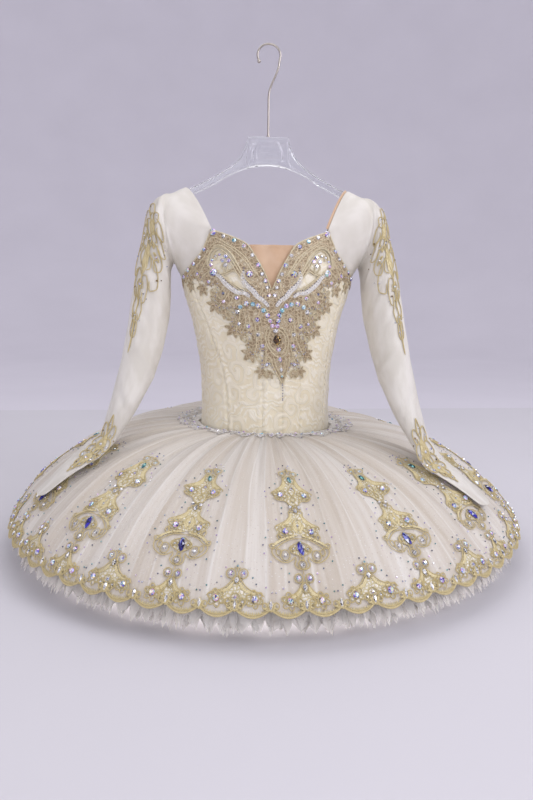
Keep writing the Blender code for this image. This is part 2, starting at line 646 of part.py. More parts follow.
def sleeve_sheet(side, lies):
    """One sleeve as a closed tube: points, normals and triangles."""
    rings = sleeve_rings(side, lies)
    triangles = grid_triangles(rings.shape[0], rings.shape[1], wraps=True)
    if side < 0:
        triangles = triangles[:, ::-1]
    points = rings.reshape(-1, 3)
    return rings, points, vertex_normals(points, triangles), triangles


def sleeve(name, side, lies):
    """One long raglan sleeve of sheer mesh, open at the neck, armhole and cuff."""
    _rings, points, normals, triangles = sleeve_sheet(side, lies)
    wall(name, points, points - normals * MESH, triangles, "mesh")


# sleeve lace outlines on the outer line of the sleeve: turn round it, ring number
UPPER_LACE = [(0.0, 1.9), (10.0, 2.2), (20.0, 2.8), (16.0, 3.3), (30.0, 3.9), (18.0, 4.4), (6.0, 5.0),
              (0.0, 5.8)]
UPPER_WINDOW = [(5.0, 3.0), (14.0, 3.6), (6.0, 4.1)]
CUFF_LACE = [(0.0, 7.3), (14.0, 7.9), (24.0, 8.7), (20.0, 9.6), (26.0, 10.3), (14.0, 11.1),
             (5.0, 11.8), (0.0, 12.2)]


def sleeve_lace(side_name, side, lies):
    """The applique at the upper arm and at the wrist, on the outer side of one sleeve."""
    rings, _points, _normals, _triangles = sleeve_sheet(side, lies)
    around = [-4, -3, -2, -1, 0, 1, 2, 3, 4]
    turns = np.array([-90.0, -67.5, -45.0, -22.5, 0.0, 18.0, 36.0, 54.0, 72.0])
    patch = rings[:, around]
    rows = np.arange(len(rings))
    flat_x, flat_y = np.meshgrid(turns * 0.001 * side, rows * 0.03)
    flat = np.stack([flat_x.ravel(), flat_y.ravel()], 1)
    triangles = grid_triangles(len(rings), len(around), wraps=False)
    if side < 0:
        triangles = triangles[:, ::-1]
    points = patch.reshape(-1, 3)
    sheet = Sheet(flat, points, vertex_normals(points, triangles), triangles, RIDGE_BEND)
    for kind, half, window in (("upper_lace", UPPER_LACE, UPPER_WINDOW), ("cuff_lace", CUFF_LACE, None)):
        outline = mirrored([(x * 0.001, y * 0.03) for x, y in half])
        windows = []
        if window:
            windows = [[(k * x * 0.001, y * 0.03) for x, y in window] for k in (-1, 1)]
        lay_lace(f"sleeve_{side_name}_{kind}", sheet, [outline], windows, "gold_lace")


# ---- brief ------------------------------------------------------------------------------------
# height, half width, share of the waist's depth, half width of the piece between the leg openings
BRIEF = np.array([
    (0.1450, 0.1250, 1.00, 0.1250), (0.1250, 0.1250, 1.00, 0.1250), (0.1000, 0.1370, 1.06, 0.1365),
    (0.0700, 0.1420, 1.02, 0.1220), (0.0470, 0.1400, 0.88, 0.0920), (0.0270, 0.1340, 0.66, 0.0620),
    (0.0120, 0.1280, 0.42, 0.0420), (0.0030, 0.1240, 0.14, 0.0330),
])


def brief_half(name, facing, depth):
    """Front or back of the brief, from the waist to the crotch, cut away for the leg."""
    turn = np.radians(np.linspace(-90.0, 90.0, 13))
    rows = []
    for height, half_width, deep, edge in BRIEF:
        x = edge * np.sin(turn)
        y = 0.0003 + depth * deep * np.sqrt(np.clip(1 - (x / half_width) ** 2, 0, 1))
        top = height >= BRIEF[0, 0]
        azimuth = np.degrees(np.arctan2(x, facing * y))
        level = seam_height(azimuth) - 0.0020 if top else np.full_like(x, height)
        rows.append(np.stack([x, -facing * y, level], 1))
    outer = np.array(rows)
    triangles = grid_triangles(*outer.shape[:2], wraps=False)
    if facing > 0:
        triangles = triangles[:, ::-1]
    points = outer.reshape(-1, 3)
    normals = vertex_normals(points, triangles)
    normals.reshape(outer.shape)[:4, 0] *= (1, 0, 1)
    normals.reshape(outer.shape)[:4, -1] *= (1, 0, 1)
    normals.reshape(outer.shape)[-1] *= (1, 0, 1)
    normals /= np.linalg.norm(normals, axis=1, keepdims=True)
    wall(name, points, points - normals * NET, triangles, "net")


# ---- hanger -----------------------------------------------------------------------------------
HANGER_HALF = 0.206
BLOCK_HALF = 0.040
BLOCK_TOP = 0.7155
HANGER_THICK = 0.011


def hanger_top(x):
    """Height of the hanger's upper edge: a sloping arm that flares up into the block."""
    x = np.abs(x)
    past = x - 0.084
    arm = 0.649 - 0.60 * past + 0.92 * past ** 2
    flare = 0.0385 * np.exp(-(x - BLOCK_HALF) / 0.0105)
    return np.where(x < BLOCK_HALF, BLOCK_TOP, arm + flare)


def hanger_bottom(x):
    """Height of the lower edge: an arch under the block, then along the arm."""
    arch = 0.6593 - 3.7 * x ** 2
    arm = hanger_top(x) - 0.0165
    return np.where(np.abs(x) < 0.105, arch, arm)


def hanger():
    """The clear moulded hanger, one bar lofted through rounded sections."""
    places = np.array([0.0, 0.015, 0.030, 0.0398, 0.0402, 0.043, 0.048, 0.055, 0.066, 0.082, 0.104,
                       0.130, 0.158, 0.182, HANGER_HALF - 0.004, HANGER_HALF])
    places = np.concatenate([-places[:0:-1], places])
    rings = []
    for x in places:
        top, bottom = float(hanger_top(x)), float(hanger_bottom(x))
        if abs(x) == HANGER_HALF:
            top, bottom = top - 0.004, bottom + 0.004
        half = HANGER_THICK / 2 * (1 + 0.9 * np.exp(-(x / 0.035) ** 4))
        edge = half * 0.45
        profile = [(-half + edge, bottom), (half - edge, bottom), (half, bottom + edge),
                   (half, top - edge), (half - edge, top), (-half + edge, top),
                   (-half, top - edge), (-half, bottom + edge)]
        rings.append([(x, y, z) for y, z in profile])
    rings = np.array(rings)
    count, sides = rings.shape[:2]
    faces = grid_triangles(count, sides, wraps=True).tolist()
    faces.append(list(range(sides))[::-1])
    faces.append([(count - 1) * sides + k for k in range(sides)])
    add_solid("hanger", rings.reshape(-1, 3), faces, "clear_plastic")


HOOK_WIRE = 0.0021          # half the wire's thickness
HOOK_RADIUS = 0.0226


def hook_path():
    """The wire's centre line from the block up the shaft, over the crook to the tip."""
    centre = HOOK_HEIGHT + HOOK_WIRE - HOOK_RADIUS
    shaft = [(0.0, BLOCK_TOP + 0.0035), (0.0, BLOCK_TOP + 0.040), (0.0, centre - 0.095)]
    neck = []
    for t in np.linspace(0.0, 1.0, 6):
        ease = t * t * (3 - 2 * t)
        neck.append((HOOK_RADIUS * 0.92 * ease, centre - 0.082 + 0.0715 * t))
    crook = []
    for angle in np.radians(np.linspace(-12.0, 205.0, 17)):
        crook.append((HOOK_RADIUS * np.cos(angle), centre + HOOK_RADIUS * np.sin(angle)))
    return np.array(shaft + neck + crook)


def hanger_hook():
    """The steel hook: a round wire with a small collar at its foot and a ball at its tip."""
    path = hook_path()
    slope = np.gradient(path, axis=0)
    slope /= np.linalg.norm(slope, axis=1, keepdims=True)
    sides = 7
    turn = 2 * np.pi * np.arange(sides) / sides
    wire = [(point, way, HOOK_WIRE) for point, way in zip(path[1:], slope[1:])]
    foot, way = path[0], slope[0]
    collar = [(foot - way * 0.0031, way, 0.0040), (foot - way * 0.0006, way, 0.0040),
              (foot, way, HOOK_WIRE)]
    tip, way = path[-1], slope[-1]
    ball = [(tip + way * 0.0012, way, 0.0034), (tip + way * 0.0040, way, 0.0040),
            (tip + way * 0.0066, way, 0.0026)]
    sections = []
    for point, way, radius in collar + wire + ball:
        side_way = np.array([way[1], -way[0]])
        ring = [(point[0] + radius * np.cos(t) * side_way[0], radius * np.sin(t),
                 point[1] + radius * np.cos(t) * side_way[1]) for t in turn]
        sections.append(ring)
    sections = np.array(sections)
    count = len(sections)
    faces = grid_triangles(count, sides, wraps=True).tolist()
    faces.append(list(range(sides))[::-1])
    faces.append([(count - 1) * sides + k for k in range(sides)])
    add_solid("hanger_hook", sections.reshape(-1, 3), faces, "steel")


# ---- the whole --------------------------------------------------------------------------------
def build():
    """Clear the scene and make every piece."""
    for thing in list(bpy.data.objects):
        bpy.data.objects.remove(thing, do_unlink=True)
    hanger()
    hanger_hook()
    for side_name, side in (("right", -1), ("left", 1)):
        for panel, (first, last) in PANELS.items():
            bodice_panel(f"bodice_{panel}_{side_name}", first, last, side)
        sleeve(f"sleeve_{side_name}", side, SLEEVE_LIES[side_name])
        sleeve_lace(side_name, side, SLEEVE_LIES[side_name])
    modesty_panel()
    neckline_lace()
    sheet = skirt_sheet()
    skirt_top(sheet)
    for name, layer in UNDER_LAYERS.items():
        skirt_under(name, layer)
    hem_lace(sheet)
    waist_lace(sheet)
    for index in range(REPEATS):
        tall_motif(index, sheet)
    brief_half("brief_front", 1, WAIST["front"])
    brief_half("brief_back", -1, WAIST["back"])


build()
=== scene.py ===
import math
from functools import partial

import bpy
import numpy as np
from mathutils import Matrix, Vector
from mathutils.geometry import delaunay_2d_cdt


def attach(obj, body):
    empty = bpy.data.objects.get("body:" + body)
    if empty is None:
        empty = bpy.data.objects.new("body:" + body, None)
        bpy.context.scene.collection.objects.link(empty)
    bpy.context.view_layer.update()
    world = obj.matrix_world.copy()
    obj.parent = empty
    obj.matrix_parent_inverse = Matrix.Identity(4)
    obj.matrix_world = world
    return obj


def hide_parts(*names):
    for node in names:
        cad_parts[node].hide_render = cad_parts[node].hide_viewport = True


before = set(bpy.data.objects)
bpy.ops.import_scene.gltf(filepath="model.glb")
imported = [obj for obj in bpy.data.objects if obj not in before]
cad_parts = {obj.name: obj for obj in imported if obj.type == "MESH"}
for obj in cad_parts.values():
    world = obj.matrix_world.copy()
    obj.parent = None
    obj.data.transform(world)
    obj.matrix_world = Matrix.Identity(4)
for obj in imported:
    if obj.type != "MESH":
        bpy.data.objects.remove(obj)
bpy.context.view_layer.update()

hookHeight = 0.8976          # gold hem tips up to the inner top of the hook, metres
chance = np.random.default_rng(11)
millimetre = 0.001           # the tables of rows are in millimetres, single lengths in metres
sideSigns = {"right": -1, "left": 1}
print("frame loaded:", len(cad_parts), "nodes")


def toLinear(hexColour):
    # sRGB to linear light: c / 12.92 up to 0.04045, else ((c + 0.055) / 1.055) ^ 2.4
    channels = np.array([int(hexColour[k:k + 2], 16) for k in (1, 3, 5)]) / 255
    linear = np.where(channels <= 0.04045, channels / 12.92, ((channels + 0.055) / 1.055) ** 2.4)
    return (*linear.tolist(), 1.0)


def addNode(tree, kind, inputs=(), output=0, **settings):
    # one shader node: settings are its properties, and inputs fill its sockets in order or by name,
    # each with a value or with another node's output; gives the output asked for
    node = tree.nodes.new("ShaderNode" + kind)
    for name, value in settings.items():
        setattr(node, name, value)
    for socket, value in inputs.items() if isinstance(inputs, dict) else enumerate(inputs):
        if isinstance(value, bpy.types.NodeSocket):
            tree.links.new(value, node.inputs[socket])
        else:
            node.inputs[socket].default_value = value
    return node.outputs[output]


def newMaterial(name, fixed):
    # a Principled material with these constant socket values, and addNode for its tree
    made = bpy.data.materials.new(name)
    made.use_nodes = True
    for socket, value in fixed.items():
        made.node_tree.nodes["Principled BSDF"].inputs[socket].default_value = value
    return made, partial(addNode, made.node_tree)


def feedShader(made, outputs):
    # links each output to the Principled socket it is named for
    for socket, output in outputs.items():
        made.node_tree.links.new(output, made.node_tree.nodes["Principled BSDF"].inputs[socket])
    return made


# settings that many nodes share
flatNoise, flatCells = {"noise_dimensions": "2D"}, {"voronoi_dimensions": "2D"}
ramp = {"interpolation_type": "SMOOTHSTEP"}
flatEdges = {"voronoi_dimensions": "2D", "feature": "DISTANCE_TO_EDGE"}
# a Mix of colours: sockets 0, 6 and 7 are factor, from and to
colours = {"output": 2, "data_type": "RGBA"}
times, timesPlus, larger = ({"operation": name} for name in ("MULTIPLY", "MULTIPLY_ADD", "MAXIMUM"))
diagonal = {"output": "Fac", "bands_direction": "DIAGONAL"}


# Ivory polyester brocade, jacquard woven: satin scrolls stand out of a duller cream ground, so the
# eye gets soft curls that turn with the light.
def brocadeMaterial():
    look = {"ground": "#F2EAD2", "scroll": "#FCF8EC", "shade": "#E9DFC4", "curl": 0.050, "pitch": 0.016,
            "weave": 0.0011}
    made, add = newMaterial("ivoryBrocade", {"Roughness": 0.5, "Sheen Weight": 0.3, "Sheen Roughness": 0.4})
    uv = add("UVMap", uv_map="cloth")
    drift = add("TexNoise", {"Vector": uv, "Scale": 26.0, "Detail": 1.5}, "Color", **flatNoise)
    shift = add("VectorMath", (drift, (0.024, 0.024, 0.0), uv), **timesPlus)
    centre = add("TexVoronoi", {"Vector": shift, "Scale": 1 / look["curl"], "Randomness": 0.7}, "Position",
                 **flatCells)
    offset = add("VectorMath", (shift, centre), operation="SUBTRACT")
    reach = add("VectorMath", (offset,), "Value", operation="LENGTH")
    x, y, _ = add("SeparateXYZ", (offset,)).node.outputs
    # scroll: sin(angle + 2 pi reach / pitch), which is one arm curling out from each centre
    heading = add("Math", (y, x), operation="ARCTAN2")
    turn = add("Math", (reach, 2 * math.pi / look["pitch"], heading), **timesPlus)
    swell = add("Math", (turn,), operation="SINE")
    ribLine = add("MapRange", (add("Math", (swell,), operation="ABSOLUTE"), 0.34, 0.10), **ramp)
    body = add("Math", (add("MapRange", (swell, -0.1, 0.9), **ramp), 0.5), **times)
    arm = add("Math", (ribLine, body), **larger)
    rim = add("MapRange", (reach, look["curl"] * 0.52, look["curl"] * 0.34), **ramp)
    # feathers between the curls: barbs fan out from bent ribs
    leaf = add("TexWave", {"Vector": shift, "Scale": 26.0, "Distortion": 11.0, "Detail": 2.0,
                           "Detail Scale": 1.6}, "Fac", wave_type="RINGS", rings_direction="SPHERICAL")
    barbs = add("TexWave", {"Vector": shift, "Scale": 88.0, "Distortion": 5.0, "Detail": 1.0}, **diagonal)
    leaf = add("Math", (add("MapRange", (leaf, 0.30, 0.85), **ramp),
                        add("Math", (barbs, 0.45, 0.55), **timesPlus)), **times)
    between = add("Math", (1.0, rim), operation="SUBTRACT")
    figure = add("Math", (add("Math", (arm, rim), **times), add("Math", (leaf, between), **times)), **larger)
    # the weave is 0.4 mm in the cloth and drawn at 1.1 mm, the finest that shows
    weave = add("TexWave", {"Vector": uv, "Scale": 0.31 / look["weave"], "Distortion": 0.6}, **diagonal)
    # the dye and the lining vary slowly over the cloth
    wash = add("TexNoise", {"Vector": uv, "Scale": 9.0, "Detail": 2.0}, **flatNoise)
    ground = add("Mix", {0: add("MapRange", (wash, 0.35, 0.65), **ramp), 6: toLinear(look["shade"]),
                         7: toLinear(look["ground"])}, **colours)
    relief = add("Math", (weave, 0.14, figure), **timesPlus)
    painted = {0: add("Math", (figure, 0.75), **times), 6: ground, 7: toLinear(look["scroll"])}
    return feedShader(made, {
        "Base Color": add("Mix", painted, **colours),
        "Roughness": add("Math", (figure, -0.26, 0.62), **timesPlus),
        "Normal": add("Bump", {"Strength": 1.0, "Distance": 0.0006, "Height": relief})})


# Stiffened nylon net in several plies: matte; warm and deep in the fold troughs, partly the plies below
# showing through and partly painted shade, and pale along the folds as painted light.
def netMaterial(name, pale, deep, fold, alpha):
    made, add = newMaterial(name, {"Roughness": 0.85, "Sheen Weight": 0.3, "Alpha": alpha,
                                   "Specular IOR Level": 0.25})
    uv = add("UVMap", uv_map="cloth")
    # overlapping soft folds, fold metres wide at the hem: each is painted a tone of its own, as painted light
    # and shade on the fold, and its edge gets a painted highlight
    wander = add("TexNoise", {"Vector": uv, "Scale": 4.5, "Detail": 1.0}, **flatNoise)
    across = add("SeparateXYZ", (uv,))
    place = add("Math", (across, 1 / fold, add("Math", (wander, 0.028 / fold), **times)), **timesPlus)
    stripes = add("TexVoronoi", {"W": place, "Scale": 1.0}, "Color", voronoi_dimensions="1D")
    foldShade = add("SeparateColor", (stripes,))
    rim = add("TexVoronoi", {"W": place, "Scale": 1.0}, voronoi_dimensions="1D", feature="DISTANCE_TO_EDGE")
    # streaks run with the folds: narrow across, long down the cloth
    stretched = add("Mapping", {"Vector": uv, "Scale": (1 / (0.45 * fold), 3.0, 1.0)})
    streaks = add("TexNoise", {"Vector": stretched, "Scale": 1.0, "Detail": 3.0, "Roughness": 0.6}, **flatNoise)
    streaks = add("Math", (add("MapRange", (streaks, 0.30, 0.68), **ramp), 0.38), **times)
    tone = add("Math", (foldShade, 0.62, streaks), **timesPlus)
    # painted highlight: each fold is paler along its edge
    tone = add("Math", (add("MapRange", (rim, 0.09, 0.0), **ramp), 0.40, tone), **timesPlus)
    # the hexagon mesh is 1 mm and drawn at 1.6 mm
    mesh = add("TexVoronoi", {"Vector": uv, "Scale": 620.0, "Randomness": 0.25}, **flatEdges)
    thread = add("MapRange", (mesh, 0.22, 0.05), **ramp)
    # painted shade and light: the tone runs from the deep colour in the troughs to the pale one on the ridges
    shade = add("Mix", {0: tone, 6: toLinear(deep), 7: toLinear(pale)}, **colours)
    shade = add("Mix", {0: add("Math", (thread, 0.30), **times), 6: shade, 7: toLinear("#F7F4EF")}, **colours)
    # pressed-on glitter, 0.4 mm and drawn at 1.4 mm: sparse smooth specks
    specks = add("TexVoronoi", {"Vector": uv, "Scale": 230.0, "Randomness": 1.0}, **flatCells)
    kind = add("SeparateColor", (specks.node.outputs["Color"],)).node.outputs
    speck = add("Math", (add("MapRange", (specks, 0.20, 0.12), **ramp),
                         add("MapRange", (kind["Red"], 0.62, 0.66), **ramp)), **times)
    glint = add("Mix", {0: kind["Green"], 6: toLinear("#FFFFFF"), 7: toLinear("#CDB9B0")}, **colours)
    relief = add("Math", (thread, 0.2, tone), **timesPlus)
    return feedShader(made, {
        "Base Color": add("Mix", {0: add("Math", (speck, 0.8), **times), 6: shade, 7: glint}, **colours),
        "Roughness": add("Math", (speck, -0.70, 0.85), **timesPlus),
        "Normal": add("Bump", {"Strength": 1.0, "Distance": 0.0009, "Height": relief})})


# Nylon power mesh: warp-knitted, smooth and slightly see-through, so what lies behind greys it; painted
# shade darkens it in slow clouds and between its ribs.
def powerMeshMaterial(name, colour, shadow, alpha):
    made, add = newMaterial(name, {"Roughness": 0.62, "Sheen Weight": 0.2, "Alpha": alpha,
                                   "Specular IOR Level": 0.3})
    uv = add("UVMap", uv_map="cloth")
    clouds = add("TexNoise", {"Vector": uv, "Scale": 22.0, "Detail": 3.0}, **flatNoise)
    rib = add("TexWave", {"Vector": uv, "Scale": 300.0, "Distortion": 1.2, "Detail": 1.0}, "Fac",
              bands_direction="X")
    # painted shade: darker between the ribs, which the bump raises, and in slow clouds
    tone = add("Math", (rib, 0.18, add("MapRange", (clouds, 0.3, 0.7), **ramp)), **timesPlus)
    tinted = {0: add("Math", (tone, 0.8), **times), 6: toLinear(shadow), 7: toLinear(colour)}
    return feedShader(made, {
        "Base Color": add("Mix", tinted, **colours),
        "Normal": add("Bump", {"Strength": 1.0, "Distance": 0.00012, "Height": rib})})


# Metallic embroidery thread in satin stitch over net: fine parallel ridges with a soft glint; the ridges
# are painted lighter than the grooves, a painted sheen, over patches of uneven tone.
def threadMaterial(name, light, dark, pitch, metallic, roughness):
    made, add = newMaterial(name, {"Metallic": metallic, "Roughness": roughness})
    uv = add("UVMap", uv_map="cloth")
    stitch = add("TexWave", {"Vector": uv, "Scale": 0.31 / pitch, "Distortion": 1.5, "Detail": 1.0}, **diagonal)
    patches = add("TexNoise", {"Vector": uv, "Scale": 160.0, "Detail": 2.0}, **flatNoise)
    # painted sheen: the stitch wave that raises the ridges also lightens them; the patches are uneven tone
    tone = add("Math", (stitch, 0.45, add("Math", (patches, 0.75), **times)), **timesPlus)
    return feedShader(made, {
        "Base Color": add("Mix", {0: tone, 6: toLinear(dark), 7: toLinear(light)}, **colours),
        "Normal": add("Bump", {"Strength": 1.0, "Distance": 0.0003, "Height": stitch})})


# Corded lace: a network of raised cord loops in thread of colour light, with net of colour dark sunk
# between them and paler holes; full is the share of cells with no hole, inner the finer cords' height.
def cordedLaceMaterial(name, light, dark, hole, mesh, metallic, full=0.55, inner=0.55):
    made, add = newMaterial(name, {"Metallic": metallic, "Roughness": 0.45})
    uv = add("UVMap", uv_map="cloth")
    drift = add("TexNoise", {"Vector": uv, "Scale": 120.0, "Detail": 1.0}, "Color", **flatNoise)
    shift = add("VectorMath", (drift, (0.006, 0.006, 0.0), uv), **timesPlus)
    cellsAt = {"Vector": shift, "Scale": 1 / mesh, "Randomness": 0.9}
    edge = add("TexVoronoi", cellsAt, **flatEdges)
    kind = add("SeparateColor", (add("TexVoronoi", cellsAt, "Color", **flatCells),))
    cord = add("MapRange", (edge, 0.17, 0.07), **ramp)
    gap = add("Math", (add("MapRange", (edge, 0.20, 0.27), **ramp),
                       add("MapRange", (kind, full, full + 0.05), **ramp)), **times)
    fine = add("TexVoronoi", {"Vector": shift, "Scale": 3.4 / mesh, "Randomness": 1.0}, **flatEdges)
    fineCord = add("Math", (add("MapRange", (fine, 0.18, 0.06), **ramp), inner), **times)
    raised = add("Math", (cord, fineCord), **larger)
    sunk = add("Mix", {0: add("Math", (gap, 0.85), **times), 6: toLinear(dark), 7: toLinear(hole)}, **colours)
    return feedShader(made, {
        "Base Color": add("Mix", {0: raised, 6: sunk, 7: toLinear(light)}, **colours),
        "Normal": add("Bump", {"Strength": 1.0, "Distance": 0.0008, "Height": raised})})


# Foil-backed cut glass: each facet is painted a colour of its own, partly the stone's tint and coating,
# partly painted reflection: near-white and near-black facets stand for the flashes and shade of the cuts.
def crystalMaterial():
    made, add = newMaterial("coatedCrystal", {"Metallic": 0.45, "IOR": 1.56, "Coat Weight": 0.6,
                                              "Coat Roughness": 0.03})
    grain = add("TexNoise", {"Scale": 900.0, "Detail": 1.0})
    return feedShader(made, {"Base Color": add("VertexColor", layer_name="tint"),
                             "Roughness": add("Math", (grain, 0.05, 0.05), **timesPlus)})


# Clear injection-moulded polystyrene: bright edges, faint flow lines in the moulding.
def clearPlasticMaterial():
    made, add = newMaterial("clearPolystyrene", {"Transmission Weight": 0.93, "IOR": 1.49})
    stretched = add("Mapping", {"Vector": add("TexCoord", output="Object"), "Scale": (20.0, 60.0, 110.0)})
    flow = add("TexNoise", {"Vector": stretched, "Scale": 1.0, "Detail": 2.0})
    return feedShader(made, {
        "Base Color": add("Mix", {0: flow, 6: toLinear("#EDF0F6"), 7: toLinear("#FFFFFF")}, **colours),
        "Roughness": add("Math", (flow, 0.06, 0.02), **timesPlus),
        "Normal": add("Bump", {"Strength": 1.0, "Distance": 0.0004, "Height": flow})})


# Nickel-plated steel wire: drawn, so faint scratches run along it.
def platedSteelMaterial():
    made, add = newMaterial("nickelPlatedSteel", {"Metallic": 1.0})
    stretched = add("Mapping", {"Vector": add("TexCoord", output="Object"), "Scale": (900.0, 900.0, 60.0)})
    scratch = add("TexNoise", {"Vector": stretched, "Scale": 1.0, "Detail": 2.0})
    return feedShader(made, {
        "Base Color": add("Mix", {0: scratch, 6: toLinear("#9C948B"), 7: toLinear("#D8D2CA")}, **colours),
        "Roughness": add("Math", (scratch, 0.18, 0.12), **timesPlus)})


finishes = {
    "brocade": brocadeMaterial(),
    "topNet": netMaterial("stiffenedTopNet", "#F5F0E9", "#CDBFAC", 0.038, 0.84),
    "outerNet": netMaterial("outerUnderNet", "#FFFCF7", "#F6F0E9", 0.018, 0.50),
    "underNet": netMaterial("stiffenedUnderNet", "#FFFCF6", "#F3ECE4", 0.018, 1.0),
    "briefNet": netMaterial("liningNet", "#F1ECE6", "#E0D8CE", 0.010, 1.0),
    "sleeveMesh": powerMeshMaterial("ivoryPowerMesh", "#EFEBE4", "#DED9CF", 0.94),
    "skinMesh": powerMeshMaterial("nudePowerMesh", "#DCBFA3", "#CDAA8A", 1.0),
    "goldSatin": threadMaterial("goldSatinStitch", "#DFD3AB", "#C0B080", 0.0018, 0.08, 0.50),
    "goldCord": threadMaterial("goldCord", "#DACB9D", "#B7A471", 0.0012, 0.12, 0.46),
    "laceCord": threadMaterial("antiqueCord", "#E9DFC2", "#B5A37E", 0.0012, 0.20, 0.42),
    "silverCord": threadMaterial("silverCord", "#F1EFEC", "#CFCBC6", 0.0010, 0.18, 0.40),
    "goldLace": cordedLaceMaterial("goldCordedLace", "#D2C596", "#EAE3D3", "#F5F0E9", 0.0046, 0.04, 0.10, 0.28),
    "antiqueLace": cordedLaceMaterial("antiqueCordedLace", "#D2C0A0", "#9C866A", "#EBE1C8", 0.0056, 0.16),
    "silverLace": cordedLaceMaterial("silverCordedLace", "#F6F4F1", "#DCD6CE", "#F2EEE9", 0.0060, 0.06),
    "crystal": crystalMaterial(),
    "clearPlastic": clearPlasticMaterial(),
    "steel": platedSteelMaterial(),
}
print("materials ready:", len(finishes))


def trianglesOf(faces):
    # quads cut in two; triangles as they are
    faces = np.asarray(faces)
    if faces.shape[1] == 3:
        return faces
    return np.concatenate([faces[:, [0, 1, 2]], faces[:, [0, 2, 3]]])


def circle(count):
    # this many even angles round a circle, in radians
    return 2 * np.pi * np.arange(count) / count


def closedWall(outer, inner, faces):
    # both faces of a sheet, and a rim of triangles along every edge that only one face uses
    count = len(outer)
    faces = trianglesOf(faces)
    start, end = faces.ravel(), np.roll(faces, -1, axis=1).ravel()
    alone = ~np.isin(start * count + end, end * count + start)
    start, end = start[alone], end[alone]
    rim = np.concatenate([np.stack([end, start, start + count], 1),
                          np.stack([end, start + count, end + count], 1)])
    return np.concatenate([outer, inner]), np.concatenate([faces, faces[:, ::-1] + count, rim])


def unitOf(vectors):
    # each vector over its own length
    return vectors / np.maximum(np.linalg.norm(vectors, axis=-1, keepdims=True), 1e-12)


def joined(parts):
    # several meshes of (points, triangles, a further array) as one
    offsets = np.cumsum([0] + [len(part[0]) for part in parts[:-1]])
    return (np.concatenate([part[0] for part in parts]),
            np.concatenate([part[1] + offset for part, offset in zip(parts, offsets)]),
            np.concatenate([part[2] for part in parts]))


def makeTrim(name, parts, trimFinishes, slot, nodes):
    # embroidery built from several (points, triangles, uv, number of its finish) as one piece
    which = np.concatenate([np.full(len(part[1]), part[3]) for part in parts])
    return makePiece(name, *joined(parts), trimFinishes, slot, nodes, whichFinish=which)


def makePiece(name, points, faces, uv, finish, slot, nodes=(), tints=None, smooth=True, period=0.0,
              whichFinish=None):
    # a mesh object that rides with the body; points have their heights over the hem. finish names one
    # finish, or several that whichFinish picks for each triangle; period is the width of a closed
    # ring's flat cloth
    mesh = bpy.data.meshes.new(name)
    placed = np.array(points, dtype=np.float32).reshape(-1, 3)
    placed[:, 2] -= hookHeight
    faces = np.ascontiguousarray(trianglesOf(faces), dtype=np.int32)
    mesh.vertices.add(len(placed))
    mesh.vertices.foreach_set("co", placed.ravel())
    mesh.loops.add(faces.size)
    mesh.loops.foreach_set("vertex_index", faces.ravel())
    mesh.polygons.add(len(faces))
    mesh.polygons.foreach_set("loop_start", np.arange(0, faces.size, 3, dtype=np.int32))
    mesh.polygons.foreach_set("use_smooth", np.full(len(faces), smooth))
    mesh.update(calc_edges=True)
    if uv is not None:
        corners = np.asarray(uv, dtype=np.float32)[faces]
        if period:
            across = corners[..., 0]
            across[across.max(1, keepdims=True) - across > period / 2] += period
        mesh.uv_layers.new(name="cloth").data.foreach_set("uv", corners.ravel())
    if tints is not None:
        facets = mesh.color_attributes.new("tint", "FLOAT_COLOR", "CORNER")
        facets.data.foreach_set("color", np.repeat(tints, 3, axis=0).astype(np.float32).ravel())
    for one in [finish] if isinstance(finish, str) else finish:
        mesh.materials.append(finishes[one])
    if whichFinish is not None:
        mesh.polygons.foreach_set("material_index", np.asarray(whichFinish, dtype=np.int32))
    if smooth:
        mesh.set_sharp_from_angle(angle=math.radians(55))
    piece = bpy.data.objects.new(name, mesh)
    bpy.context.scene.collection.objects.link(piece)
    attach(piece, "root")
    if nodes:
        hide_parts(*nodes)
    return piece


def gridFaces(rows, columns, wrapped):
    # quads of a grid of points held row by row
    span = columns if wrapped else columns - 1
    row, column = np.meshgrid(np.arange(rows - 1), np.arange(span), indexing="ij")
    after = (column + 1) % columns
    quads = np.stack([row * columns + column, row * columns + after,
                      (row + 1) * columns + after, (row + 1) * columns + column], -1)
    return quads.reshape(-1, 4)


def gridNormals(grid, wrapped, outward):
    # cross product of the slope along the rows with the slope down the columns
    down = np.gradient(grid, axis=0)
    along = (np.roll(grid, -1, 1) - np.roll(grid, 1, 1)) if wrapped else np.gradient(grid, axis=1)
    return unitOf(np.cross(along, down)) * outward


def clothFromGrid(name, grid, uv, thickness, wrapped, outward, finish, slot, nodes,
                  strip=None):
    # a sheet of this thickness under a grid of points; strip, the same cloth before its edge was cut where
    # that differs, is not used
    rows, columns = grid.shape[:2]
    normals = gridNormals(grid, wrapped, outward)
    faces = gridFaces(rows, columns, wrapped)
    if outward < 0:
        faces = faces[:, ::-1]
    outer, inner = grid.reshape(-1, 3), (grid - normals * thickness).reshape(-1, 3)
    points, triangles = closedWall(outer, inner, faces)
    flatUv = np.tile(uv.reshape(-1, 2), (2, 1))
    period = float(np.ptp(uv[..., 0])) * columns / (columns - 1) if wrapped else 0.0
    piece = makePiece(name, points, triangles, flatUv, finish, slot, nodes, period=period)
    strip = grid if strip is None else strip
    return piece


def catmullRom(t, a, b, c, d):
    # from b at t = 0 to c at t = 1, with a and d as the neighbours that set the slopes
    return 0.5 * (2 * b + (c - a) * t + (2 * a - 5 * b + 4 * c - d) * t * t
                  + (3 * b - a - 3 * c + d) * t ** 3)


def smoothAlong(values, where, closed=False):
    # Catmull-Rom curve through values at these places along the first axis
    values, where = np.asarray(values, dtype=float), np.asarray(where, dtype=float)
    count = len(values)
    base = np.floor(where).astype(int)
    if not closed:
        base = np.clip(base, 0, count - 2)
    t = (where - base).reshape(where.shape + (1,) * (values.ndim - 1))
    return catmullRom(t, *(values[(base + k) % count if closed else np.clip(base + k, 0, count - 1)]
                           for k in (-1, 0, 1, 2)))


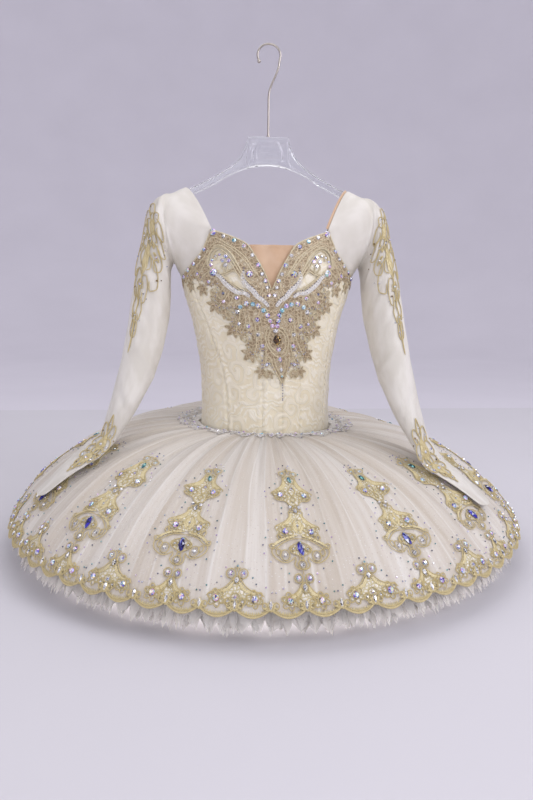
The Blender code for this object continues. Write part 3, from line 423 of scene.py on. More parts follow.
def curveThrough(table, heights):
    # the table's other columns at these values of its first, on a Hermite curve with mean slopes
    knots, result = table[:, 0], []
    for values in table[:, 1:].T:
        slopes = np.gradient(values, knots)
        place = np.clip(np.searchsorted(knots, heights) - 1, 0, len(knots) - 2)
        width = knots[place + 1] - knots[place]
        t = (heights - knots[place]) / width
        result.append(values[place] * (1 + 2 * t) * (1 - t) ** 2
                      + values[place + 1] * t * t * (3 - 2 * t)
                      + width * slopes[place] * t * (1 - t) ** 2
                      + width * slopes[place + 1] * t * t * (t - 1))
    return result


def creaseRelief(u, v, creases):
    # sum of soft ridges: depth * exp(-(distance to the segment / width)^2), fading at its ends
    relief = np.zeros(np.broadcast(u, v).shape)
    for u0, v0, u1, v1, width, depth in creases:
        du, dv = u1 - u0, v1 - v0
        along = ((u - u0) * du + (v - v0) * dv) / (du * du + dv * dv)
        near = np.clip(along, 0.0, 1.0)
        gap = np.hypot(u - u0 - du * near, v - v0 - dv * near)
        fade = np.sqrt(np.clip(np.sin(np.pi * (0.08 + 0.84 * near)), 0, 1))
        relief += depth * np.exp(-(gap / width) ** 2) * fade
    return relief


# ways of laying embroidery on a surface: a ground turns flat places (n, 2) in metres into points
def normalsOfGround(ground, flat):
    # cross product of the ground's slopes across and along
    step = 0.0004
    across = ground(flat + (step, 0.0)) - ground(flat - (step, 0.0))
    along = ground(flat + (0.0, step)) - ground(flat - (0.0, step))
    return unitOf(np.cross(across, along))


def smoothPath(knots, spacing, closed=False):
    # a smooth line through the knots with points about spacing apart
    knots = np.asarray(knots, dtype=float)
    ring = np.concatenate([knots, knots[:1]]) if closed else knots
    spans = len(ring) - 1
    count = max(int(np.linalg.norm(np.diff(ring, axis=0), axis=1).sum() / spacing), 3 * closed + 2)
    where = np.arange(count) * spans / count if closed else np.linspace(0, spans, count + 1)
    return smoothAlong(knots, where, closed)


def flower(u, v, radius, petals, cut, turn=0.0):
    # closed line of petals: r = radius (1 - cut + cut |cos(petals t / 2)|)
    t = np.linspace(0, 2 * np.pi, petals * 8, endpoint=False)
    r = radius * (1 - cut + cut * np.abs(np.cos(petals * t / 2)))
    return np.stack([u + r * np.sin(t + turn), v + r * np.cos(t + turn)], 1)


def loop(u, v, across, along, turn=0.0):
    # an ellipse turned by turn radians
    t = np.linspace(0, 2 * np.pi, 20, endpoint=False)
    x, y = across * np.sin(t), along * np.cos(t)
    return np.stack([u + x * np.cos(turn) - y * np.sin(turn), v + x * np.sin(turn) + y * np.cos(turn)], 1)


def leafLine(u, v, size, turn):
    # a leaf of seven points: r = size (0.44 + 0.56 spike) (0.64 + 0.36 cos t), tip at t = 0; spike goes
    # straight from 1 at each point to 0 between two
    t = np.linspace(-np.pi, np.pi, 42, endpoint=False)
    spike = 1 - 2 * np.abs((3.5 * t / np.pi + 0.5) % 1 - 0.5)
    r = size * (0.44 + 0.56 * spike) * (0.64 + 0.36 * np.cos(t))
    return np.stack([u + r * np.sin(turn - t), v + r * np.cos(turn - t)], 1)


def cordOn(ground, path, radius, lift, closed=False, outward=1.0, sides=5):
    # a round cord along a flat path: centre + radius (cos t aside + sin t up); open ends taper shut
    centre = ground(path)
    up = normalsOfGround(ground, path) * outward
    centre = centre + up * lift
    way = np.roll(centre, -1, 0) - np.roll(centre, 1, 0) if closed else np.gradient(centre, axis=0)
    aside = unitOf(np.cross(way, up))
    turn = circle(sides)
    thick = np.full(len(centre), radius)
    if not closed:
        thick[[0, -1]] *= 0.3
    ring = (np.cos(turn)[None, :, None] * aside[:, None] + np.sin(turn)[None, :, None] * up[:, None])
    points = centre[:, None] + ring * thick[:, None, None]
    rows = np.concatenate([points, points[:1]]) if closed else points
    count = len(centre)
    faces = trianglesOf(gridFaces(len(rows), sides, True)) % (count * sides)
    faces = faces[:, ::-1]
    if not closed:
        fan = np.array([[0, k, k + 1] for k in range(1, sides - 1)])
        faces = np.concatenate([faces, fan, fan[:, ::-1] + (count - 1) * sides])
    length = np.concatenate([[0], np.cumsum(np.linalg.norm(np.diff(centre, axis=0), axis=1))])
    uv = np.stack(np.broadcast_arrays(length[:, None], (turn * radius)[None, :]), -1).reshape(-1, 2)
    return points.reshape(-1, 3), faces, uv


def insideLoop(points, outline):
    # even-odd rule
    x, y = points[:, 0], points[:, 1]
    result = np.zeros(len(points), dtype=bool)
    for (x0, y0), (x1, y1) in zip(outline, np.roll(outline, -1, axis=0)):
        if y0 != y1:
            result ^= ((y0 > y) != (y1 > y)) & (x < x0 + (y - y0) * (x1 - x0) / (y1 - y0))
    return result


def flatFill(outline, windows, spacing):
    # an outline less its windows, filled with triangles over points spacing apart
    outline, windows = np.asarray(outline), [np.asarray(w) for w in windows]
    low, high = outline.min(0), outline.max(0)
    u, v = np.meshgrid(np.arange(low[0] + spacing / 2, high[0], spacing),
                       np.arange(low[1] + spacing / 2, high[1], spacing))
    u = u + (np.arange(len(u)) % 2)[:, None] * spacing / 2
    field = np.stack([u.ravel(), v.ravel()], 1)
    keep = insideLoop(field, outline)
    for window in windows:
        keep &= ~insideLoop(field, window)
    edgePoints = np.concatenate([outline] + windows)
    gap = np.linalg.norm(field[keep][:, None] - edgePoints[None], axis=2).min(1)
    field = field[keep][gap > spacing * 0.45]
    edges, base = [], 0
    for ring in [outline] + windows:
        edges += [(base + k, base + (k + 1) % len(ring)) for k in range(len(ring))]
        base += len(ring)
    everything = np.concatenate([edgePoints, field])
    cut = delaunay_2d_cdt([Vector(p) for p in everything.tolist()], edges, [], 0, 1e-6)
    flat, faces = np.array([tuple(p) for p in cut[0]]), np.array(cut[2])
    middle = flat[faces].mean(1)
    inside = insideLoop(middle, outline)
    for window in windows:
        inside &= ~insideLoop(middle, window)
    faces = faces[inside]
    a, b, c = (flat[faces[:, k]] for k in range(3))
    area = (b - a)[:, 0] * (c - a)[:, 1] - (b - a)[:, 1] * (c - a)[:, 0]
    faces = np.where((area > 0)[:, None], faces, faces[:, ::-1])
    used, faces = np.unique(faces, return_inverse=True)
    flat = flat[used]
    edgeGap = np.linalg.norm(flat[:, None] - edgePoints[None], axis=2).min(1)
    return flat, faces.reshape(-1, 3), edgeGap


def fillOn(ground, fill, lift, thickness, crown, outward=1.0):
    # a fill laid on the ground: its outer face swells by crown away from its edges
    flat, faces, edgeGap = fill
    base = ground(flat)
    up = normalsOfGround(ground, flat) * outward
    swell = thickness + crown * np.clip(edgeGap / 0.003, 0, 1)
    if outward < 0:
        faces = faces[:, ::-1]
    points, triangles = closedWall(base + up * (lift + swell)[:, None], base + up * lift, faces)
    return points, triangles, np.tile(flat, (2, 1))


def mirroredLine(half):
    # a symmetric outline from its half, listed from the top down
    half = np.asarray(half, dtype=float)
    other = half[::-1] * (-1, 1)
    return np.concatenate([half, other[np.abs(other[:, 0]) > 1e-9]])


# facet colours: the stones' own tints, plus near-white and dark facets as painted reflection
facetTintsAndReflections = {
    "ab": ["#F4F6FF", "#A9B8F0", "#7A70CC", "#E3B6E6", "#BFE8E4", "#FFFFFF", "#4E4C94", "#F0DCA8"],
    "clear": ["#FFFFFF", "#E6E6EC", "#A4A5B0", "#565762", "#F7F3E8", "#C9CCD8"],
    "sapphire": ["#201C90", "#100E4C", "#4038C4", "#8F98EE", "#181560", "#2E2A9E", "#E6ECFF"],
    "teal": ["#2E7F86", "#0E3C44", "#7FC6C4", "#C8EFE6", "#1D5560", "#3C6FA0"],
    "topaz": ["#7A5522", "#3A2208", "#E9C880", "#5E3C14", "#1E1004", "#2E1A08"],
    "rose": ["#C79AC8", "#F2D8F0", "#8D6BA8", "#FFF4FF", "#B6C2EE"],
    "aqua": ["#8FD0D8", "#CFF0F0", "#4E93AE", "#F4FFFF", "#B4C8EC"],
    "dark": ["#5A5870", "#8C8AA8", "#3A3A58", "#C9C6E0", "#4D6E78"],
}


def stoneTemplate(sides):
    # a cut stone in its own unit frame: girdle a quarter of the way up, table 0.56 as wide at full
    # height, flat back 0.85 as wide
    turn = circle(sides)
    girdle = np.stack([np.sin(turn), np.cos(turn), np.full(sides, 0.25)], 1)
    half = turn + np.pi / sides
    table = np.stack([0.56 * np.sin(half), 0.56 * np.cos(half), np.ones(sides)], 1)
    back = np.stack([0.85 * np.sin(turn), 0.85 * np.cos(turn), np.zeros(sides)], 1)
    here, after = np.arange(sides), (np.arange(sides) + 1) % sides
    crown = np.concatenate([np.stack([here, sides + here, after], 1),
                            np.stack([after, sides + here, sides + after], 1)])
    belt = np.concatenate([np.stack([2 * sides + here, here, after], 1),
                           np.stack([2 * sides + here, after, 2 * sides + after], 1)])
    fan = np.array([[0, k + 1, k] for k in range(1, sides - 1)])
    facets = np.concatenate([crown, belt, fan + sides, fan[:, ::-1] + 2 * sides])
    return np.concatenate([girdle, table, back]), facets


def stonesOn(ground, rows, sides, lift, outward=1.0):
    # rows of (u, v, half width, half length, height, turn, tint name) as one array of stones:
    # point = place + x halfWidth aside + y halfLength along + z height up
    template, faces = stoneTemplate(sides)
    flat = np.array([row[:2] for row in rows])
    size = np.array([row[2:6] for row in rows])
    place = ground(flat)
    up = normalsOfGround(ground, flat) * outward
    along = ground(flat + (0.0, 0.0005)) - place
    along = unitOf(along - up * (along * up).sum(1, keepdims=True))
    aside = np.cross(along, up)
    x = template[None, :, 0] * size[:, 0, None]
    y = template[None, :, 1] * size[:, 1, None]
    long = size[:, 1] > size[:, 0] * 1.25
    x = np.where(long[:, None], x * np.abs(template[None, :, 0]) ** 0.7, x)
    turned = size[:, 3, None]
    x, y = x * np.cos(turned) - y * np.sin(turned), x * np.sin(turned) + y * np.cos(turned)
    z = template[None, :, 2] * size[:, 2, None] + lift
    points = (place[:, None] + x[..., None] * aside[:, None] + y[..., None] * along[:, None]
              + z[..., None] * up[:, None])
    count = len(template)
    triangles = faces[None] + (np.arange(len(rows)) * count)[:, None, None]
    tints = []
    # each facet is given a colour from its palette: the stone's tint, and painted reflection on some facets
    for row in rows:
        palette = np.array([toLinear(c) for c in facetTintsAndReflections[row[6]]])
        tints.append(palette[chance.integers(0, len(palette), len(faces))])
    return points.reshape(-1, 3), triangles.reshape(-1, 3), np.concatenate(tints)


def makeStones(name, groups, slot):
    # groups of (points, triangles, tints) as one piece of cut stones
    points, triangles, tints = joined(groups)
    return makePiece(name, points, triangles, None, "crystal", slot, (), tints, smooth=False)



cameraPlace = {"azimuth": -5.0, "distance": 1.26, "height": -0.5021, "lens": 28.8, "roll": 0.6,
               "shift": -0.125}
stageLook = {"floor": -0.9376, "tableEnd": 1.28, "tableSide": 2.6, "flat": 4.0, "reach": 7.5, "rise": 5.0,
             "tableColours": ("#D0CED5", "#D8D6DD"), "roomColours": ("#D6D3DD", "#E0DDE7"),
             "skyColour": "#F4F2F6", "skyStrength": 0.92}
# softboxes: place, what each faces, size across, watts, colour
studioLights = {
    "keySoftbox": ((1.7, -1.3, 0.7), (0.0, 0.0, -0.5), 1.3, 20.0, "#FBFAFF"),
    "fillSoftbox": ((-1.8, -1.2, 0.3), (0.0, 0.0, -0.6), 1.6, 0.8, "#FFF4E4"),
    "topSoftbox": ((-0.1, 0.1, 1.3), (0.0, 0.0, -0.8), 1.8, 5.0, "#FFFFFF"),
    "lowSoftbox": ((-0.4, -2.0, -0.62), (-0.1, 0.0, -0.92), 2.0, 10.0, "#FFFFFF"),
    # stands for the light that soaks down through all the plies of net
    "netGlow": ((0.0, 0.0, -0.905), (0.0, 0.001, -1.2), 0.80, 2.0, "#FFFBF6"),
}


def makeCamera():
    # stands at azimuth and distance from the axis, level, turned by roll about its own line of sight
    turn = math.radians(cameraPlace["azimuth"])
    camera = bpy.data.objects.new("camera", bpy.data.cameras.new("camera"))
    camera.data.lens = cameraPlace["lens"]
    camera.data.shift_y = cameraPlace["shift"]
    away = cameraPlace["distance"]
    camera.matrix_world = (
        Matrix.Translation((away * math.sin(turn), -away * math.cos(turn), cameraPlace["height"]))
        @ Matrix.Rotation(turn, 4, "Z") @ Matrix.Rotation(math.radians(90), 4, "X")
        @ Matrix.Rotation(math.radians(cameraPlace["roll"]), 4, "Z"))
    bpy.context.scene.collection.objects.link(camera)
    bpy.context.scene.camera = camera


def makeStage():
    # one pale bowl all round the piece: flat to a radius, then a quarter ellipse up; the part of it
    # that is a table top is a little lighter
    turn = circle(96)
    climb = np.linspace(0, np.pi / 2, 25)
    radius = np.concatenate([np.linspace(0.05, stageLook["flat"], 12)[:-1],
                             stageLook["flat"] + (stageLook["reach"] - stageLook["flat"]) * np.sin(climb)])
    height = np.concatenate([np.zeros(11), stageLook["rise"] * (1 - np.cos(climb))]) + stageLook["floor"]
    points = np.stack([radius[:, None] * np.cos(turn), radius[:, None] * np.sin(turn),
                       np.repeat(height[:, None], len(turn), 1)], -1).reshape(-1, 3)
    faces = gridFaces(len(radius), len(turn), True)[:, ::-1].tolist() + [list(range(len(turn)))]
    mesh = bpy.data.meshes.new("floor")
    mesh.from_pydata(points.tolist(), [], faces)
    mesh.polygons.foreach_set("use_smooth", np.ones(len(faces), dtype=bool))
    made, add = newMaterial("plainFloor", {"Roughness": 0.9, "Specular IOR Level": 0.2})
    place = add("TexCoord", output="Object")
    clouds = add("TexNoise", {"Vector": place, "Scale": 1.6, "Detail": 3.0})
    x, y, _ = add("SeparateXYZ", (place,)).node.outputs
    pastEnd, pastSide = (add("MapRange", (at, limit, limit + 0.02), **ramp) for at, limit in (
        (y, stageLook["tableEnd"]), (add("Math", (x,), operation="ABSOLUTE"), stageLook["tableSide"])))
    table, room = (add("Mix", {0: clouds, 6: toLinear(first), 7: toLinear(second)}, **colours)
                   for first, second in (stageLook["tableColours"], stageLook["roomColours"]))
    beyond = add("Math", (pastEnd, pastSide), **larger)
    feedShader(made, {"Base Color": add("Mix", {0: beyond, 6: table, 7: room}, **colours)})
    mesh.materials.append(made)
    piece = bpy.data.objects.new("floor", mesh)
    bpy.context.scene.collection.objects.link(piece)
    world = bpy.data.worlds.new("paleRoom")
    world.use_nodes = True
    world.node_tree.nodes["Background"].inputs[0].default_value = toLinear(stageLook["skyColour"])
    world.node_tree.nodes["Background"].inputs[1].default_value = stageLook["skyStrength"]
    bpy.context.scene.world = world
    for name, (place, target, size, watts, colour) in studioLights.items():
        light = bpy.data.lights.new(name, "AREA")
        light.shape, light.size, light.energy, light.color = "DISK", size, watts, toLinear(colour)[:3]
        lamp = bpy.data.objects.new(name, light)
        lamp.visible_camera = False
        lamp.location = place
        lamp.rotation_euler = (Vector(target) - Vector(place)).to_track_quat("-Z", "Y").to_euler()
        bpy.context.scene.collection.objects.link(lamp)


makeCamera()
makeStage()
bpy.context.scene.view_settings.view_transform = "Standard"
print("camera, floor and lights ready")


bodice = {
    "turn": 11.0,          # degrees that the seams have turned at the waist
    "seamGap": 0.0001, "wall": 0.0014, "rows": 84, "columnsPerStep": 7,
    "seamSink": 0.0010, "seamWidth": 0.0021, "boneRise": 0.00075, "boneFromSeam": 0.0062,
    "boneWidth": 0.0030, "pucker": 0.00080, "puckerPitch": 0.0125,
    # radii of the round forms on which the cloth's pattern and the lace are laid out flat
    "uvRadius": 0.14, "laceRadius": 0.13,
    # height, half width, depth in front, depth behind
    "sections": np.array([
        (140, 125, 82, 74), (215, 124.5, 84, 72), (260, 126.5, 88, 76), (305, 133.5, 94, 82),
        (360, 145.5, 102, 88), (415, 162, 108, 93), (450, 166, 107, 96), (490, 160, 101, 96),
        (530, 150, 93, 93)]) * millimetre,
    # half the cut: angle and height of the top edge, angle of the same thread at the waist
    "cut": np.array([
        (0, 413.6, 0), (2.5, 432, 4.5), (5.5, 452, 9), (10.5, 476, 13), (16, 497, 17), (25, 509.5, 24),
        (35, 518, 31), (46.6, 526.5, 37.5), (51, 490, 41), (57, 472.5, 44.5), (64, 457, 48), (73, 444.5, 62),
        (82, 436, 77), (92, 431.5, 92), (101, 434, 102), (111, 442, 113), (121, 462, 124), (131, 506, 135),
        (143, 490, 146), (155, 478, 157), (167, 470.5, 168), (180, 468, 180)]) * (1, millimetre, 1),
    # each panel's CAD node, and its first and last row of the cut
    "panels": {"centreFront": ("centre_front", 0, 4), "front": ("front", 4, 10),
               "sideFront": ("side_front", 10, 13), "sideBack": ("side_back", 13, 17),
               "back": ("back", 17, 21)},
    "corners": (0, 7, 17, 21),
    # soft drags, listed one by one: round the body and height from and to, width, depth
    "creases": np.array([
        (-205, 262, -150, 236, 7.5, 1.1), (-190, 226, -128, 214, 6.2, -1), (-160, 330, -110, 296, 9, 0.9),
        (-120, 205, -50, 214, 7, 0.9), (-60, 186, 15, 192, 6, -0.7), (30, 214, 105, 199, 6.6, 1),
        (92, 238, 170, 222, 7.2, 1.2), (118, 206, 205, 196, 6.4, -1.1), (140, 272, 205, 252, 8, 1),
        (128, 330, 176, 372, 9, -0.9), (150, 300, 215, 318, 8.5, 0.9), (60, 280, 98, 242, 8, 0.8),
        (-98, 286, -70, 240, 7.5, -0.8), (12, 252, 50, 232, 6.2, 0.6), (235, 240, 300, 222, 7.5, 1.1),
        (260, 300, 330, 330, 9, -0.9), (330, 212, 410, 224, 7, 1), (350, 380, 420, 352, 8.5, 0.9),
        (-240, 232, -310, 216, 7.2, 1), (-265, 332, -335, 300, 9, 0.9), (-340, 226, -412, 212, 7, -1),
        (-345, 392, -425, 360, 8.8, 0.9)]) * millimetre,
}
brim = {"radius": 0.467, "crown": 0.155, "dip": 0.008, "backRise": 0.036, "lean": 0.030,
        "columns": 80, "length": 0.420, "foldDepth": 0.0030}
waist = {"halfWidth": 0.1250, "front": 0.0820, "back": 0.0740}


def oval(halfWidth, front, back, azimuth):
    # half ellipses of two depths: x = halfWidth sin, y = -depth cos
    angle = np.radians(azimuth)
    depth = np.where(np.cos(angle) > 0, front, back)
    return halfWidth * np.sin(angle), -depth * np.cos(angle)


def bodyPoint(angle, height):
    # the bodice's outer face: an oval section at each height, its seams turned by up to turn degrees
    # with a smooth step between heights 0.22 and 0.41
    t = np.clip((height - 0.22) / 0.19, 0.0, 1.0)
    turned = angle + bodice["turn"] * (1 - t * t * (3 - 2 * t))
    x, y = oval(*curveThrough(bodice["sections"], height), turned)
    return np.stack([x, y, height], axis=-1)


def seamHeight(azimuth):
    # the waist seam: crown - dip, higher at the back and leaning to one side
    x, _ = oval(waist["halfWidth"], waist["front"], waist["back"], azimuth)
    back = ((1 - np.cos(np.radians(azimuth))) / 2) ** 3
    return brim["crown"] - brim["dip"] + brim["backRise"] * back - brim["lean"] * x


def cutAt(places):
    # the cut's three columns at fractional rows, smooth between its corners
    corners, result = bodice["corners"], np.zeros((len(places), 3))
    for first, last in zip(corners[:-1], corners[1:]):
        here = (places >= first) & (places <= last)
        result[here] = smoothAlong(bodice["cut"][first:last + 1], places[here] - first)
    return result


def makePanel(name, node, first, last, side):
    # angle = waist angle + (top angle - waist angle) share^1.3, height from the seam to the top edge;
    # relief = bones beside the seams - sunk seams + puckers + listed drags
    cut = cutAt(np.linspace(first, last, (last - first) * bodice["columnsPerStep"] + 1))
    share = np.linspace(0.0, 1.0, bodice["rows"])[:, None]
    angle = side * (cut[:, 2] + (cut[:, 0] - cut[:, 2]) * share ** 1.3)
    bottom = seamHeight(side * cut[:, 2] + bodice["turn"]) - 0.0008
    height = bottom + (cut[:, 1] - bottom) * share
    halfWidth = curveThrough(bodice["sections"], height)[0]
    gap = np.degrees(bodice["seamGap"] / 2 / halfWidth)
    angle[:, 0] += side * gap[:, 0]
    angle[:, -1] -= side * gap[:, -1]
    around = np.radians(np.abs(angle)) * halfWidth
    fromFirst, fromLast = np.abs(around - around[:, :1]), np.abs(around - around[:, -1:])
    if first == 0:
        fromFirst = fromFirst + 0.004 * (height > 0.40)
    relief = np.zeros_like(around)
    for gone, phase in ((fromFirst, 0.0), (fromLast, 1.9)):
        relief += bodice["boneRise"] * np.exp(-((gone - bodice["boneFromSeam"]) / bodice["boneWidth"]) ** 2)
        relief -= bodice["seamSink"] * np.exp(-(gone / bodice["seamWidth"]) ** 2)
        wave = np.sin(2 * np.pi * height / bodice["puckerPitch"] + phase + 3 * np.sin(height * 31 + first))
        relief += bodice["pucker"] * wave * np.exp(-(gone / 0.0085) ** 2)
    relief += creaseRelief(np.radians(angle) * bodice["uvRadius"], height, bodice["creases"])
    relief += 0.0004 * np.sin(angle * 0.31 + height * 60) * np.sin(height * 83 + angle * 0.11)
    skin = bodyPoint(angle, height)
    grid = skin + gridNormals(skin, False, side) * relief[..., None]
    uv = np.stack([np.radians(angle) * bodice["uvRadius"], height], -1)
    return clothFromGrid(name, grid, uv, bodice["wall"], False, side, "brocade", "brocade",
                         (node,))


bodicePanels = {}
for sideName, side in sideSigns.items():
    for panelName, (node, first, last) in bodice["panels"].items():
        name = panelName + sideName.capitalize()
        bodicePanels[name] = makePanel(name, f"bodice_{node}_{sideName}", first, last, side)
print("bodice panels:", len(bodicePanels))


modesty = {"reach": 25.0, "low": 0.3920, "high": 0.4968, "gap": 0.0026, "wall": 0.0009, "drag": 0.0006,
           "bound": 0.0005}


def makeModesty():
    # the bodice's face moved in by its wall and the gap; soft upright drags, top edge bound
    across = np.linspace(-modesty["reach"], modesty["reach"], 61)
    angle, height = np.meshgrid(across, np.linspace(modesty["low"], modesty["high"], 48))
    skin = bodyPoint(angle, height)
    drag = modesty["drag"] * np.sin(angle * 0.55 + 1.3 * np.sin(height * 40)) * (height - modesty["low"]) / 0.1
    bound = modesty["bound"] * np.exp(-((modesty["high"] - 0.0022 - height) / 0.0016) ** 2)
    grid = skin - gridNormals(skin, False, 1) * (0.0015 + modesty["gap"] - bound - drag)[..., None]
    uv = np.stack([np.radians(angle) * bodice["uvRadius"], height], -1)
    return clothFromGrid("modestyPanel", grid, uv, modesty["wall"], False, 1, "skinMesh", "skin_tone",
                         ("modesty_panel",))


makeModesty()


def waistReach(azimuth):
    # distance of the waist oval from the axis
    angle = np.radians(azimuth)
    depth = np.where(np.cos(angle) > 0, waist["front"], waist["back"])
    return 1 / np.hypot(np.sin(angle) / waist["halfWidth"], np.cos(angle) / depth)


def spread(share):
    # how far out each share of the skirt's length lies
    return share * (1.128 - 0.128 * share ** 4)


def dome(azimuth, share, radius=brim["radius"], crown=brim["crown"], hem=0.0):
    # reach grows from the waist to radius with out = share (1.128 - 0.128 share^4), and height falls
    # from crown to hem as (1 - out^2.6)^0.8, dipped at the waist, raised at the back, leaning sideways
    angle = np.radians(azimuth)
    start = waistReach(azimuth) + 0.0005
    out = spread(share)
    reach = start + (radius - start) * out
    fall = np.clip(1 - out ** 2.6, 0, 1) ** 0.8
    back = brim["backRise"] * ((1 - np.cos(angle)) / 2) ** 3 * np.clip(1 - out, 0, 1) ** 1.2
    lean = -brim["lean"] * reach * np.sin(angle) * (1 - out ** 2)
    height = hem + (crown - hem) * fall - brim["dip"] * np.exp(-out / 0.06) + back + lean
    return np.stack([reach * np.sin(angle), -reach * np.cos(angle), height], axis=-1)


# the top net's main folds, listed all round: azimuth, share from and to, half width in
# degrees, depth in mm (ridges above 0, troughs below)
skirtFolds = np.array([
    (-176, 0.05, 0.9, 2.6, 3.4), (-168, 0.1, 1, 2.2, -3), (-161, 0.02, 0.75, 1.8, 3), (-152, 0.2, 1, 3, -3.6),
    (-144, 0.05, 0.95, 2.2, 3.6), (-135, 0, 0.6, 1.7, 2.8), (-128, 0.15, 1, 2.8, -3.2),
    (-119, 0.05, 0.85, 2.2, 3.4), (-110, 0.1, 1, 2.4, -3), (-102, 0.02, 0.7, 1.8, 3), (-94, 0.2, 1, 2.8, -3.6),
    (-85, 0.05, 0.9, 2.1, 3.4), (-76, 0.04, 0.95, 2.4, -3.2), (-70, 0.02, 0.8, 1.6, 3.2),
    (-61, 0.05, 1, 2.6, -3.8), (-53, 0.03, 0.98, 2.1, 3.8), (-46, 0.1, 0.85, 1.5, 2.6),
    (-40, 0.04, 1, 2.4, -3.6), (-33, 0.02, 0.96, 1.9, 4), (-27, 0, 0.62, 1.4, 2.6), (-21, 0.06, 1, 2.3, -3.6),
    (-14, 0.03, 0.92, 1.8, 3.6), (-8, 0, 0.55, 1.4, -2.8), (-4, 0.05, 1, 1.7, 2.8), (1, 0.02, 0.4, 1.3, 2.6),
    (6, 0.04, 1, 2, -3.4), (12, 0, 0.78, 1.5, 3.2), (17, 0.1, 1, 2.2, 3), (24, 0.05, 0.96, 2.2, -3.6),
    (29, 0.02, 0.66, 1.5, 3), (36, 0.08, 1, 2.1, 3.6), (43, 0.04, 0.94, 2.4, -3.6), (50, 0.02, 0.8, 1.8, 3.4),
    (58, 0.06, 1, 2.5, 3), (66, 0.03, 0.95, 2.3, -3.6), (75, 0.03, 0.9, 2.1, 3.6), (84, 0.1, 1, 2.6, -3.4),
    (93, 0.02, 0.76, 1.8, 3), (101, 0.15, 1, 2.5, 3.2), (110, 0.05, 0.98, 2.4, -3.6),
    (118, 0.02, 0.85, 1.9, 3.4), (127, 0.12, 1, 2.6, -3.2), (136, 0.04, 0.92, 2.1, 3.6),
    (145, 0.05, 1, 2.5, -3.4), (153, 0.02, 0.7, 1.7, 3), (162, 0.1, 1, 2.4, 3.4),
    (171, 0.04, 0.95, 2.3, -3.4)]) * (1, 1, 1, 1, millimetre)


def foldAt(azimuth, share):
    # foldDepth cos(40 azimuth) of uneven strength, plus each placed fold's bell across and fade along
    angle = np.radians(azimuth)
    wave = np.cos(brim["columns"] / 2 * angle) * (0.75 + 0.25 * np.sin(5 * angle + 0.6 * np.sin(3 * angle)))
    depth = brim["foldDepth"] * np.sin(np.pi * np.clip(share, 0, 1) ** 0.8) ** 0.7 * wave * 0.22
    for centre, start, end, width, rise in skirtFolds:
        sway = centre + 1.1 * np.sin(share * 5 + centre)
        gap = (azimuth - sway + 180) % 360 - 180
        fade = 1 / (1 + np.exp(-(share - start - 0.05) / 0.03)) / (1 + np.exp((share - end + 0.02) / 0.025))
        depth = depth + 1.05 * rise * np.exp(-(gap / width) ** 2) * fade
    return depth


def skirtPoint(azimuth, share):
    # the dome with its folds raised along its normal
    smooth = dome(azimuth, share)
    across = dome(azimuth + 0.1, share) - smooth
    along = dome(azimuth, share + 0.001) - smooth
    return smooth + unitOf(np.cross(along, across)) * foldAt(azimuth, share)[..., None]


def seamDrop(share, start, width):
    # start at share 0, fading to nothing over width
    return np.clip(1 - share / width, 0, 1) * start


hemShape = {"repeats": 16, "start": 1.8, "scallops": 64, "notch": 0.974, "deep": 0.0245}


def hemShare(azimuth):
    # the scalloped hem: notch + deep |sin(pi part)|^0.7, part running from one notch to the next
    part = (azimuth - hemShape["start"]) / 360 * hemShape["scallops"]
    return hemShape["notch"] + hemShape["deep"] * np.abs(np.sin(np.pi * part)) ** 0.7


topNet = {"columns": 800, "rows": 28, "wall": 0.0009, "gather": 0.0014, "gatherReach": 0.13,
          "pleat": 0.00045}


def makeTopNet():
    # the folded dome, with gathers sin(170 azimuth) that fade from the waist, and fine pleats
    azimuth, step = np.meshgrid(np.linspace(-180, 180, topNet["columns"], endpoint=False),
                                np.linspace(0, 1, topNet["rows"]))
    share = (hemShare(azimuth) - 0.004) * (1.25 * step - 0.25 * step ** 2)
    angle = np.radians(azimuth)
    gather = np.sin(170 * angle + 5 * np.sin(9 * angle) + 2 * np.sin(31 * angle))
    pleat = np.sin(97 * angle + 4 * np.sin(7 * angle)) * np.sin(61 * angle + 3 * np.sin(4 * angle + 1))
    fine = topNet["gather"] * (gather - 1) / 2 * np.exp(-(share / topNet["gatherReach"]) ** 1.3)
    fine = fine + topNet["pleat"] * (pleat - 1) / 2 * np.clip(share / 0.1, 0, 1)
    points = skirtPoint(azimuth, share)
    grid = points + gridNormals(points, True, -1) * fine[..., None]
    uv = np.stack([(angle + np.pi) * brim["radius"], share * brim["length"]], -1)
    return clothFromGrid("topNet", grid, uv, topNet["wall"], True, -1, "topNet", "net",
                         ("skirt_top",))


makeTopNet()
print("top net made")


# stiff net plies below the top one: radius, crown, hem, drop of the waist seam, points round the
# edge, depth of a point, ruffle, phase; three plies stand for each node
underNets = {
    "skirt_under_1": [
        (0.4625, 0.1405, -0.0165, 0.0056, 168, 0.066, 0.005, 0),
        (0.4585, 0.138, -0.0215, 0.0068, 150, 0.08, 0.0058, 2.1),
        (0.453, 0.135, -0.024, 0.008, 140, 0.08, 0.006, 4.2)],
    "skirt_under_2": [
        (0.445, 0.1285, -0.025, 0.0104, 90, 0.07, 0.0056, 1),
        (0.439, 0.1255, -0.027, 0.0117, 84, 0.074, 0.006, 3.2),
        (0.432, 0.1225, -0.0275, 0.013, 88, 0.074, 0.006, 5.1)],
}


plyMesh = {"perPoint": 6, "rows": 8}


